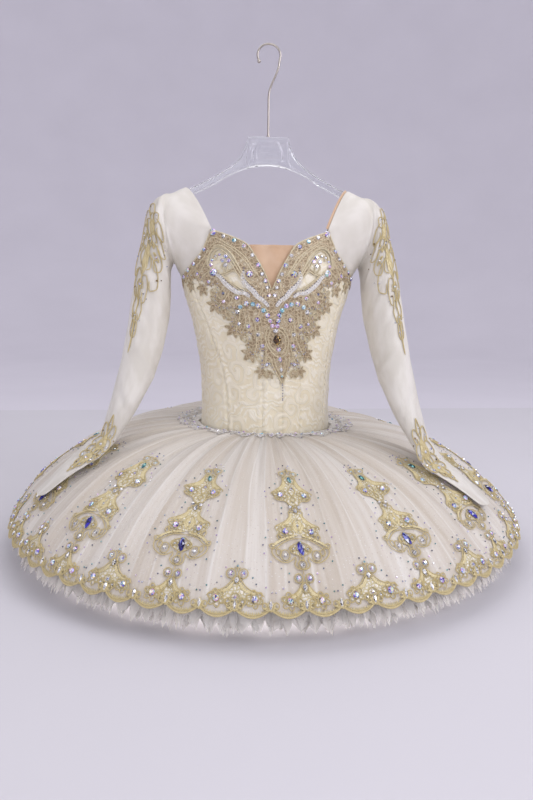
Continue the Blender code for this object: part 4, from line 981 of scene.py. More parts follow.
def makeUnderNet(name, node, radius, crown, hem, start, teeth, deep, ruffle, phase):
    # a dome whose edge is cut in points: end = 1.014 - deep (1 - (1 - |s|)^1.7) uneven - 0.024 (1 -
    # uneven), s across each point; ruffle share^2 sin(...) along the normal, and the points hang a little
    perPoint = plyMesh["perPoint"]
    columns = teeth * perPoint
    azimuth, step = np.meshgrid(np.linspace(-180, 180, columns, endpoint=False),
                                np.linspace(0, 1, plyMesh["rows"]) ** 0.75)
    angle = np.radians(azimuth)
    across = 2 * (np.arange(columns) % perPoint) / perPoint - 1 + 0 * step
    tooth = np.arange(columns) // perPoint
    uneven = (0.56 + 0.44 * np.sin(tooth * 2.4 + phase + 3 * np.sin(tooth * 0.7)) * np.cos(tooth * 1.3)
              + 0 * step)
    end = 1.014 - deep * (1 - np.clip(1 - np.abs(across), 0, 1) ** 1.7) * uneven - 0.024 * (1 - uneven)
    wave = np.sin(31 * angle + phase + 1.6 * np.sin(5 * angle + phase))

    def ruffled(share):
        points = dome(azimuth, share, radius, crown, hem)
        points[..., 2] += seamDrop(share, brim["crown"] - crown - start, 0.25)
        points[..., :2] *= (1 + 0.008 * seamDrop(share, 1.0, 0.1))[..., None]
        crimp = np.sin(170 * angle + 2.4 * np.sin(13 * angle + phase)) * np.clip((share - 0.8) / 0.2, 0, 1)
        rise = ruffle * share ** 2 * wave + 0.0016 * crimp - 0.004 * share ** 3
        points = points + gridNormals(points, True, -1) * rise[..., None]
        tip = np.clip((share - 0.955) / 0.055, 0, 1.1)
        points[..., 2] -= 0.006 * tip ** 1.6 * (0.6 + 0.4 * np.sin(tooth * 1.7 + phase))
        return points

    share = step * end
    grid = ruffled(share)
    uv = np.stack([(angle + np.pi) * radius, share * brim["length"]], -1)
    finish = "outerNet" if name in ("underNet1", "underNet2") else "underNet"
    return clothFromGrid(name, grid, uv, 0.0007, True, -1, finish, "net", (node,),
                         ruffled(step * 1.014))


underPlies = []
for node, plies in underNets.items():
    for ply in plies:
        underPlies.append(makeUnderNet(f"underNet{len(underPlies) + 1}", node, *ply))
print("under nets:", len(underPlies))


brief = {
    # height, half width, share of the waist's depth, half width between the leg openings
    "rows": np.array([
        (145, 125, 1, 125), (125, 125, 1, 125), (100, 137, 1.06, 136.5), (70, 142, 1.02, 122),
        (47, 140, 0.88, 92), (27, 134, 0.66, 62), (12, 128, 0.42, 42),
        (3, 124, 0.14, 33)]) * (millimetre, millimetre, 1, millimetre),
    "wall": 0.0010,
}


def makeBrief(name, node, facing, depth):
    # ellipse sections y = depth sqrt(1 - (x / halfWidth)^2), cut to edge sin(turn) across
    height, halfWidth, deep, edge = smoothAlong(brief["rows"], np.linspace(0, 7, 57)).T[:, :, None]
    turn = np.radians(np.linspace(-90, 90, 61))[None]
    edge = np.minimum(edge, halfWidth)
    x = edge * np.sin(turn)
    y = 0.0003 + depth * deep * np.sqrt(np.clip(1 - (x / halfWidth) ** 2, 0, 1))
    azimuth = np.degrees(np.arctan2(x, facing * y))
    top = np.clip((height - 0.125) / 0.020, 0, 1)
    level = height + top * (seamHeight(azimuth) - 0.0020 - height)
    elastic = 0.0007 * np.sin(turn * 46) * np.exp(-((np.abs(turn) - np.pi / 2) / 0.10) ** 2)
    grid = np.stack([x, -facing * (y - elastic), level + 0 * x], -1)
    uv = np.stack([x + 0.2, level + 0 * x], -1)
    return clothFromGrid(name, grid, uv, brief["wall"], False, -facing, "briefNet", "net", (node,))


makeBrief("briefFront", "brief_front", 1, waist["front"])
makeBrief("briefBack", "brief_back", -1, waist["back"])
print("brief made")

sleeves = {
    # swing, outer reach, outer height, inner reach, inner height, half depth
    "rings": np.array([
        (0, 190, 600, 174.5, 454.5, 59), (0, 215, 589.5, 181.2, 464, 61), (0.03, 231, 564, 186.8, 448, 59),
        (0.12, 239, 515, 186.2, 415, 52), (0.28, 255, 435, 189, 362, 46), (0.52, 267, 350, 203, 302, 42.5),
        (0.74, 283, 282, 226, 252, 39.5), (0.93, 304, 216, 263, 199, 36.5),
        (1, 323, 164, 302, 153, 33)]) * ((1,) + 5 * (millimetre,)),
    # the part on the skirt: share of the skirt's length, half width and thickness in metres
    "cuff": np.array([(0.56, 0.031, 0.015), (0.62, 0.029, 0.011), (0.69, 0.024, 0.0085), (0.75, 0.017, 0.007)]),
    "cuffPoint": 0.055, "rest": 0.0040, "ridge": 0.1605, "overHanger": 0.0050, "overEdge": 0.0008,
    "wall": 0.0008,
    "lies": {"right": -65.0, "left": 53.0},
    "rows": 120, "columns": 96,
    # drags, listed one by one: turn in hundreds of degrees and ring from and to, width, depth
    "creases": [
        (0.1, 1.2, 1.1, 3, 0.1, 0.0034), (0.25, 1, 1.35, 2.2, 0.09, -0.003),
        (0.55, 2.2, 1.45, 3.9, 0.12, 0.0036), (1.5, 1.8, 0.9, 3.4, 0.1, -0.0028),
        (-0.1, 1.4, -1.05, 3.1, 0.1, 0.0032), (-0.4, 1.2, -1.4, 2.4, 0.1, -0.0028),
        (-1.3, 2.4, -0.6, 4, 0.12, 0.0034), (0.3, 4.3, 1.2, 5.1, 0.13, 0.0032),
        (0.05, 5.2, 0.95, 5.7, 0.1, -0.0026), (-0.2, 4.6, -1.2, 5.3, 0.12, 0.0032),
        (1.3, 4.6, 1.9, 5.4, 0.12, -0.0026), (0.6, 6.4, 1.5, 7, 0.12, 0.0028),
        (-0.6, 6.6, -1.5, 7.3, 0.12, 0.0028), (0.15, 7.6, 1, 8.3, 0.11, -0.0024),
        (0.1, 8.6, 0.7, 9.7, 0.1, 0.0024), (-0.15, 9.4, -0.8, 10.2, 0.1, 0.0024),
        (0.35, 10.4, -0.3, 11.3, 0.1, -0.002), (0.5, 11.2, -0.1, 12.2, 0.1, 0.002)],
}
hangerShape = {"half": 0.206, "blockHalf": 0.040, "blockTop": 0.7155, "thick": 0.011}


def hangerTop(x):
    # a sloping arm that flares up into the block
    x = np.abs(x)
    past = x - 0.084
    arm = 0.649 - 0.60 * past + 0.92 * past ** 2
    flare = 0.0385 * np.exp(-(x - hangerShape["blockHalf"]) / 0.0105)
    return np.where(x < hangerShape["blockHalf"], hangerShape["blockTop"], arm + flare)


def shoulderRidge(side):
    # where the sleeve crosses the hanger's arm
    reach = sleeves["ridge"]
    return np.array([side * reach, 0.0, float(hangerTop(reach)) + sleeves["overHanger"]])


def sleeveRings(side, lies, turn):
    # fourteen rings, top to cuff, at each turn in degrees from the outer line: ring 0 is the neck
    # edges and the armhole, rings 1 to 9 are ovals in a plane that swings forward, rings 10 to 13
    # lie on the skirt
    turn = turn % 360
    column = np.where(turn <= 180, turn / 18, 10 + (turn - 180) / 22.5)
    place = 7 + np.clip(column - 4, 0, 10)
    cut = cutAt(place)
    edge = bodyPoint(side * cut[:, 0], cut[:, 1] + sleeves["overEdge"])
    share = np.clip(np.where(column < 4, column / 4, np.where(column > 14, (18 - column) / 4, 1)), 0, 1)
    ridge = shoulderRidge(side)
    rings = [ridge + (edge - ridge) * np.stack([share, share ** 0.8, share ** 1.4], 1)]
    angle = np.radians(turn)
    for swing, outerReach, outerHeight, innerReach, innerHeight, halfDepth in sleeves["rings"]:
        azimuth = np.radians(side * 90.0 + (lies - side * 90.0) * swing)
        reach = (outerReach + innerReach) / 2 + (outerReach - innerReach) / 2 * np.cos(angle)
        height = (outerHeight + innerHeight) / 2 + (outerHeight - innerHeight) / 2 * np.cos(angle)
        across = halfDepth * np.sin(angle) * -side
        rings.append(np.stack([reach * np.sin(azimuth) + across * np.cos(azimuth),
                               -reach * np.cos(azimuth) + across * np.sin(azimuth), height], 1))
    for share, halfWidth, thickness in sleeves["cuff"]:
        point = (share == sleeves["cuff"][-1, 0]) * sleeves["cuffPoint"] * (1 + np.cos(angle)) / 2
        azimuth = lies - side * np.degrees(halfWidth * np.sin(angle) / (brim["radius"] * share))
        skin = dome(azimuth, share + point)
        slope = dome(azimuth, share + point + 0.01) - skin
        tangent = np.stack([np.cos(np.radians(azimuth)), np.sin(np.radians(azimuth)), 0 * azimuth], 1)
        normal = unitOf(np.cross(slope, tangent))
        lift = sleeves["rest"] + brim["foldDepth"] + thickness * (1 + np.cos(angle)) / 2
        rings.append(skin + normal * lift[:, None])
    return np.array(rings)


def sleevePoint(side, lies, turn, ring):
    # Catmull-Rom along the rings at each point's own turn
    rings = sleeveRings(side, lies, turn)
    ring = np.clip(ring, 0, len(rings) - 1)
    base = np.clip(np.floor(ring).astype(int), 0, len(rings) - 2)
    return catmullRom((ring - base)[:, None], *(
        rings[np.clip(base + k, 0, len(rings) - 1), np.arange(len(turn))] for k in (-1, 0, 1, 2)))


def sleeveSurface(side, lies, turn, ring):
    # the rings' surface with its drags raised along its normal
    skin = sleevePoint(side, lies, turn, ring)
    around = sleevePoint(side, lies, turn + 0.5, ring) - sleevePoint(side, lies, turn - 0.5, ring)
    down = sleevePoint(side, lies, turn, ring + 0.02) - sleevePoint(side, lies, turn, ring - 0.02)
    normals = unitOf(np.cross(around, down)) * side
    relief = creaseRelief(((turn + 180) % 360 - 180) / 100, ring, sleeves["creases"])
    relief += 0.0006 * np.sin(ring * 5.3 + np.radians(turn) * 3) * np.sin(ring * 2.1 + np.radians(turn) * 2)
    relief *= np.clip(ring / 0.8, 0, 1) * np.clip(13 - ring, 0.2, 1) * np.clip(1 - (ring - 8) * 0.6, 0.4, 1)
    return skin + normals * relief[:, None]


def makeSleeve(sideName, side):
    # the sleeve's surface on a grid of turns and rings
    turn, ring = np.meshgrid(np.linspace(0, 360, sleeves["columns"], endpoint=False),
                             13 * np.linspace(0, 1, sleeves["rows"]))
    grid = sleeveSurface(side, sleeves["lies"][sideName], turn.ravel(), ring.ravel()).reshape(*turn.shape, 3)
    uv = np.stack([turn * 0.0009, ring * 0.045], -1)
    return clothFromGrid(f"sleeve{sideName.capitalize()}", grid, uv, sleeves["wall"], True, side,
                         "sleeveMesh", "mesh", (f"sleeve_{sideName}",))


for sideName, side in sideSigns.items():
    makeSleeve(sideName, side)
print("sleeves made")


def leftOf(line):
    # unit vectors to the left of a flat line
    way = np.gradient(line, axis=0)
    return unitOf(np.stack([-way[:, 1], way[:, 0]], 1))


def feathered(line, pitch, depth):
    # the line with points about pitch apart, every other one moved aside by depth
    line = np.asarray(line, dtype=float)
    length = np.concatenate([[0], np.cumsum(np.linalg.norm(np.diff(line, axis=0), axis=1))])
    where = np.union1d(np.linspace(0, length[-1], int(length[-1] / pitch) + 1), length)
    where = where[np.concatenate([[True], np.diff(where) > pitch * 0.2])]
    points = np.stack([np.interp(where, length, line[:, k]) for k in (0, 1)], 1)
    swing = np.where(np.arange(len(points)) % 2, depth, -depth)
    swing[[0, -1]] = 0
    return points + leftOf(points) * swing[:, None]


def bothSides(rows):
    # each row as it is, and again with its first number turned to the other side
    rows = [tuple(row) for row in rows]
    return rows + [(-row[0], *row[1:]) for row in rows if abs(row[0]) > 1e-9]


def allStones(rows):
    # stones on both sides, with sizes from millimetres; a row of five is a round stone, which gives
    # its half width, height and tint alone
    full = [row if len(row) == 7 else (*row[:3], *row[2:4], 0.0, row[4]) for row in rows]
    return [(x, y, across * millimetre, along * millimetre, high * millimetre, turn, tint)
            for x, y, across, along, high, turn, tint in bothSides(full)]


def mirroredPaths(paths):
    # each line of (across, along) and its mirror image, unless it lies on the middle
    result = []
    for path in paths:
        path = np.asarray(path, dtype=float)
        result.append(path)
        if np.abs(path[:, 0]).max() > 1e-9:
            result.append(path * (-1, 1))
    return result


def beadsAlong(path, spacing, size, tint):
    # a row of small beads on a flat path
    line = smoothPath(path, spacing)
    return [(u, v, size, size, size * 1.1, 0.0, tint) for u, v in line.tolist()]


# the neckline lace: angles in degrees and heights, half of it
neckline = {
    "outline": [
        (0, 240), (2.6, 250), (5.2, 262), (8.6, 275), (8, 281), (10.2, 277), (11, 270), (12.4, 274),
        (15.6, 267), (14.6, 274), (17, 279), (14.4, 284), (13, 291), (11.6, 301), (13.6, 303), (15.6, 297),
        (16.6, 301), (21.6, 293), (20.2, 300), (23, 306), (20.4, 311), (21.6, 318), (18.6, 322), (18.4, 332),
        (20.6, 337), (22.6, 333), (24, 338), (27, 333), (26.8, 339), (31.2, 337), (28.6, 345), (31, 351),
        (28.2, 356), (29, 363), (26, 368), (26.4, 378), (29, 381), (31, 377), (32.6, 382), (35.6, 377),
        (35.6, 383), (40.2, 381), (37.6, 388), (39.4, 395), (36.4, 399), (37.2, 406), (34.4, 411), (36, 420),
        (39, 423), (41.4, 418), (43.6, 422), (48, 418), (46.6, 425), (49.6, 431), (53, 427), (56.6, 436),
        (62, 427), (65.6, 435), (72, 425), (76, 431), (83, 414)],
    "windows": [
        [(41, 486), (44.6, 473), (44, 458), (38.5, 446.5), (32.5, 442.5), (27.6, 447.5), (24, 457), (23.4, 469),
        (27.4, 481), (33, 489), (37.5, 491)], [(32.4, 438.5), (26.5, 425.5), (21, 412.5), (16.4, 411.5),
        (16.8, 421), (19.8, 435), (23.6, 447), (26.6, 445), (30.6, 440.5)]],
    "spacing": 0.0030, "lift": 0.0006, "wall": 0.0011, "crown": 0.0009, "feather": (0.0026, 0.0009),
    "cordLift": 0.0006, "cordWider": 1.25, "loopCord": 0.0011, "ropeCord": 0.0014, "windowCord": 0.0013,
    "leafCord": 0.0007, "fineSpacing": 0.0024, "stoneLift": 0.0009, "stoneWider": 1.12,
    # rows of beads: spacing, half width, tint
    "beads": {"above": (0.0042, 0.0012, "dark"), "ribbon": (0.0040, 0.0011, "clear"),
              "string": (0.0038, 0.0013, "dark"), "edge": (0.0075, 0.0012, "ab")},
    # cords: radius, then angle and height
    "cords": [
        (1.3, [(43.5, 464), (43, 481), (38.5, 494), (32, 490), (26, 476), (21, 456), (16.5, 434), (13, 424)]),
        (1.1, [(40.5, 468), (39.5, 482), (35.5, 487), (30, 479), (25, 464), (20.5, 446), (17, 428)]),
        (1, [(37.5, 466), (37, 476), (33.5, 479), (29, 470), (25, 456), (21.5, 441), (18.5, 428)]),
        (1.2, [(44.5, 470), (42.5, 456), (37, 446), (31, 437), (25, 425), (20, 416), (16, 411)]),
        (1, [(31.5, 452), (30, 442), (28.5, 452), (30.5, 462), (33, 456), (31.5, 449)]), (1, [(46, 500),
        (44, 509), (38, 507), (31, 497), (24, 487), (17, 472), (12, 452), (8, 436)]), (0.9, [(44, 492),
        (38, 500), (30, 492), (23, 480), (16.5, 463), (11.5, 443)]), (1, [(58, 446), (52, 462), (47.5, 474),
        (45.5, 486)]), (0.9, [(54, 434), (50, 446), (47, 458), (44.5, 470)]), (0.9, [(50, 432), (46.5, 440),
        (43, 446)]), (0.9, [(72, 428), (66, 440), (60, 450)]), (1, [(30.5, 420), (34, 412), (37.5, 408),
        (36, 398), (32, 402), (31, 410)]), (1, [(27, 413), (31, 399), (36, 389), (39, 382)]), (0.9, [(25, 404),
        (28, 392), (33, 381), (37, 377)]), (0.9, [(24, 398), (26, 385), (29.5, 376)]), (1, [(22.5, 384),
        (24, 366), (27.5, 350), (30, 339)]), (0.9, [(20, 378), (20.5, 358), (23.5, 342), (27, 335)]),
        (0.9, [(17.5, 372), (18, 352), (20.5, 338)]), (1, [(14, 356), (15, 330), (17.5, 308), (20, 295)]),
        (0.9, [(11.5, 350), (12, 326), (14, 306), (17, 296)]), (1, [(9.5, 318), (10.5, 298), (12.5, 280),
        (14.5, 269)]), (1.1, [(0, 349), (5.5, 344), (8.6, 326), (7, 306), (3.2, 294), (0, 292)]), (1, [(0, 343),
        (4.2, 339), (6.6, 325), (5.2, 309), (0, 298)]), (1.1, [(7.4, 292), (7, 280), (5, 266), (2.4, 252),
        (0, 241)]), (1, [(4.6, 290), (4.4, 280), (3, 268), (0, 256)]), (1, [(4.5, 428), (6, 414), (8, 402),
        (6.5, 394), (4, 400), (4.2, 408)]), (0.9, [(12.5, 404), (9, 396), (6, 386), (4, 376), (2, 364)])],
    # loops: angle, height, half width and half length
    "loops": [
        (23.5, 399, 6, 6), (19.5, 348, 5.6, 6.6), (13.5, 333, 5, 6), (12, 360, 6, 6.5), (14, 442, 8, 7.8),
        (39, 443, 8.6, 8.2), (16.6, 288, 4.4, 4.8), (9.4, 287, 4, 4.8), (24.6, 324, 4.6, 5.6),
        (20.6, 327, 4, 4.6), (32.4, 368, 4.6, 5.6), (28.6, 372, 4, 4.6), (40.6, 409, 4.8, 5.8),
        (36.6, 414, 4, 4.6), (53.5, 442, 5, 6)],
    # leaves past the edge: angle, height, size, turn of the tip from straight up
    "leaves": [
        (41.5, 386, 12, 2.3), (34.5, 374, 10, 2.7), (31.6, 342, 12, 2.2), (25.4, 336, 9.5, 2.8),
        (22.6, 298, 12.5, 2.25), (16.4, 266, 10, 2.7), (49.5, 417, 11, 2.6), (63.5, 424, 10, 2.8),
        (9.6, 262, 8, 2.5), (38.6, 404, 8, 1.9), (29.6, 362, 8, 1.8), (20.2, 316, 8, 1.9)],
    "ribbons": [
        [(37, 441), (33.5, 436), (31, 427), (27, 417), (22.5, 409), (18, 408), (14.5, 401)], [(17.5, 447),
        (18.4, 434), (16, 422), (12, 412), (9, 401), (5.5, 394), (2.6, 384)]],
    "ribbonHalf": 0.0034,
    # cut stones, both sides: angle, height, half width, half length, height over the lace, turn, tint
    "stones": [
        (39, 445, 6.2, 4, "ab"), (14, 442, 5.4, 3.6, "ab"), (43.5, 519, 6, 3.8, "ab"),
        (34, 511, 3.6, 2.6, "clear"), (25.5, 503, 3.8, 2.6, "aqua"),
        (18.5, 493, 4, 2.8, "ab"), (12.5, 476, 3.6, 2.6, "clear"), (8.6, 458, 4, 2.8, "ab"),
        (6.2, 442, 3.4, 2.4, "clear"), (4.2, 430, 3.6, 2.4, "ab"),
        (3, 418, 3.2, 2.2, "clear"), (1.8, 404, 3.4, 2.4, "ab"),
        (49, 487, 3.6, 2.6, "ab"), (52.5, 473, 3.6, 2.6, "clear"),
        (58, 461, 3.8, 2.6, "ab"), (65, 450, 4, 2.8, "ab"), (73, 438, 4.2, 2.8, "ab"),
        (25, 374, 4.2, 3, "clear"), (22, 383, 4, 3, "aqua"), (17.4, 389, 4.4, 3, "ab"),
        (13, 388, 4, 3, "aqua"), (9.5, 385, 4.4, 3.2, "ab"), (6.4, 377, 4.2, 3, "aqua"),
        (4.2, 368, 4.4, 3.2, "ab"), (2.9, 358, 4.2, 3, "ab"), (1.8, 349, 4, 3, "rose"),
        (30.4, 474, 3.6, 2.6, "ab"), (28, 466, 3.4, 2.4, "rose"),
        (32.6, 466, 3.4, 2.6, "ab"), (30, 458, 3.8, 2.6, "clear"),
        (35, 477, 2.4, 1.8, "ab"), (38, 474, 2.4, 1.8, "clear"),
        (40.5, 467, 2.4, 1.8, "ab"), (41, 458, 3.2, 2.4, "rose"),
        (23.5, 399, 3.4, 2.4, "ab"), (19.5, 348, 3.8, 2.6, "ab"),
        (13.5, 333, 3.6, 2.6, "clear"), (12, 312, 3.6, 2.6, "ab"),
        (12, 360, 3.8, 2.6, "ab"), (11.5, 277, 3, 2.2, "ab"), (33.5, 392, 3, 2.2, "rose"),
        (26, 352, 2.8, 2, "ab"), (43, 428, 3.4, 2.4, "ab"), (53.5, 442, 3, 2.2, "ab"),
        (32.5, 407, 2.6, 2, "dark"), (0, 306, 4, 3, "ab"), (0, 287, 3.6, 4.6, 3, 0, "ab"),
        (0, 268, 2.8, 4.4, 2.4, 0, "clear"), (0, 256, 2, 1.6, "aqua"),
        (0, 340, 4.4, 3.6, 2.8, 0, "clear"), (0, 323.5, 6.8, 9, 5.2, 0, "topaz")],
}


def bodyFlat(rows, unit=millimetre):
    # degrees round the body and heights in unit to flat metres
    return np.asarray(rows, dtype=float) * (np.radians(1) * bodice["laceRadius"], unit)


def bodyGround(flat):
    # flat metres onto the bodice's outer face
    return bodyPoint(np.degrees(flat[:, 0] / bodice["laceRadius"]), flat[:, 1])


def makeNeckline():
    # corded net cut to its outline less its windows, cords and loops on it, beaded silver ribbons
    top = cutAt(np.linspace(12, 0, 121))[:, :2] - (0.0, 0.0010)
    top[top[:, 0] > 46.6, 0] -= 0.8
    top = top[top[:, 1] > 0.4150]
    edge = feathered(bodyFlat(neckline["outline"]), *neckline["feather"])
    half = np.concatenate([edge[:-1], bodyFlat(top, 1), [(0.0, 0.4124)]])
    outline = np.concatenate([half, half[-2:0:-1] * (-1, 1)])
    windows = [smoothPath(w, 0.003, True) for w in mirroredPaths([bodyFlat(w) for w in neckline["windows"]])]
    fill = flatFill(outline, windows, neckline["spacing"])
    parts = [(*fillOn(bodyGround, fill, neckline["lift"], neckline["wall"], neckline["crown"]), 0)]
    lift = neckline["lift"] + neckline["wall"] + neckline["cordLift"]

    def addCord(path, radius, closed=False, high=lift, finish=1, around=5):
        parts.append((*cordOn(bodyGround, path, radius, high, closed, 1.0, around), finish))

    for radius, line in neckline["cords"]:
        for path in mirroredPaths([bodyFlat(line)]):
            addCord(smoothPath(path, 0.0030), radius * neckline["cordWider"] * millimetre)
    for angle, height, across, along in bothSides(neckline["loops"]):
        path = loop(*bodyFlat([(angle, height)])[0], across * millimetre, along * millimetre)
        addCord(path, neckline["loopCord"], True)
    for path in mirroredPaths([bodyFlat(top, 1) - (0.0, 0.0012)]):
        rope = path[::2] + np.stack([0 * path[::2, 0], 0.0004 * np.sin(np.arange(len(path[::2])) * 2.4)], 1)
        addCord(rope, neckline["ropeCord"])
    for window in windows:
        addCord(window, neckline["windowCord"], True)
    for angle, height, size, tip in bothSides(neckline["leaves"]):
        centre, size = bodyFlat([(angle, height)])[0], size * millimetre
        tip = tip if angle > 0 else -tip
        blade = leafLine(*(centre - np.array((np.sin(tip), np.cos(tip))) * size * 0.12), size * 1.75, tip)
        fill = flatFill(blade, [], neckline["fineSpacing"])
        parts.append((*fillOn(bodyGround, fill, 0.0009, 0.0009, 0.0008), 0))
        addCord(blade, neckline["leafCord"], True, 0.0019, around=4)
    for path in mirroredPaths([bodyFlat(line) for line in neckline["ribbons"]]):
        line = smoothPath(path, 0.0028)
        half = leftOf(line) * neckline["ribbonHalf"] * np.sin(
            np.pi * np.linspace(0.08, 0.92, len(line)))[:, None] ** 0.5
        band = flatFill(np.concatenate([line + half, (line - half)[::-1]]), [], neckline["fineSpacing"])
        parts.append((*fillOn(bodyGround, band, lift, 0.0006, 0.0008), 2))
        for edgeSide in (-1, 1):
            addCord(line + half * edgeSide, neckline["leafCord"], high=lift + 0.0006, finish=3)
    return makeTrim("necklineLace", parts, ("antiqueLace", "laceCord", "silverLace", "silverCord"),
                    "taupe_lace", ("neckline_lace",))


def makeNecklineStones():
    # large cut stones, rows of small beads beside the ribbons and a string below the point
    lift = neckline["lift"] + neckline["wall"] + neckline["stoneLift"]
    wider, strings = neckline["stoneWider"], neckline["beads"]
    rows = [(*bodyFlat([(angle, height)])[0].tolist(), across * wider, along * wider, *rest)
            for angle, height, across, along, *rest in allStones(neckline["stones"])]
    beads = []
    for path in mirroredPaths([bodyFlat(line) for line in neckline["ribbons"]]):
        beads += beadsAlong(path + (0.0, 0.0052), *strings["above"])
        beads += beadsAlong(path, *strings["ribbon"])
    beads += beadsAlong(bodyFlat([(0, 242), (0, 212)]), *strings["string"])
    for path in mirroredPaths([bodyFlat(neckline["outline"][3:-2:2]), bodyFlat(neckline["outline"][2:20:3])]):
        beads += beadsAlong(path + (0.0, 0.004), *strings["edge"])
    return makeStones("necklineStones", [stonesOn(bodyGround, rows, 8, lift),
                                         stonesOn(bodyGround, beads, 6, lift)], "silver_lace")


necklineLace = makeNeckline()
necklineStones = makeNecklineStones()
print("neckline lace made")


def skirtGround(azimuth):
    # flat metres across a meridian and down from the waist, on the folded top net
    def ground(flat):
        share = flat[:, 1] / brim["length"]
        start = waistReach(azimuth)
        reach = start + (brim["radius"] - start) * spread(share)
        return skirtPoint(azimuth + np.degrees(flat[:, 0] / reach), share)
    return ground


def onCloth(rows):
    # millimetres across and share of the skirt's length to flat metres
    return np.asarray(rows, dtype=float) * (millimetre, brim["length"])


def clothLoop(x, share, across, along):
    # a thread loop with its middle given as in onCloth, half width and half length in millimetres
    return loop(x * millimetre, share * brim["length"], across * millimetre, along * millimetre)[::2]


def stoneRows(rows):
    # stones given in millimetres and shares, on both sides, to flat metres
    return [(x * millimetre, share * brim["length"], *sizes) for x, share, *sizes in allStones(rows)]


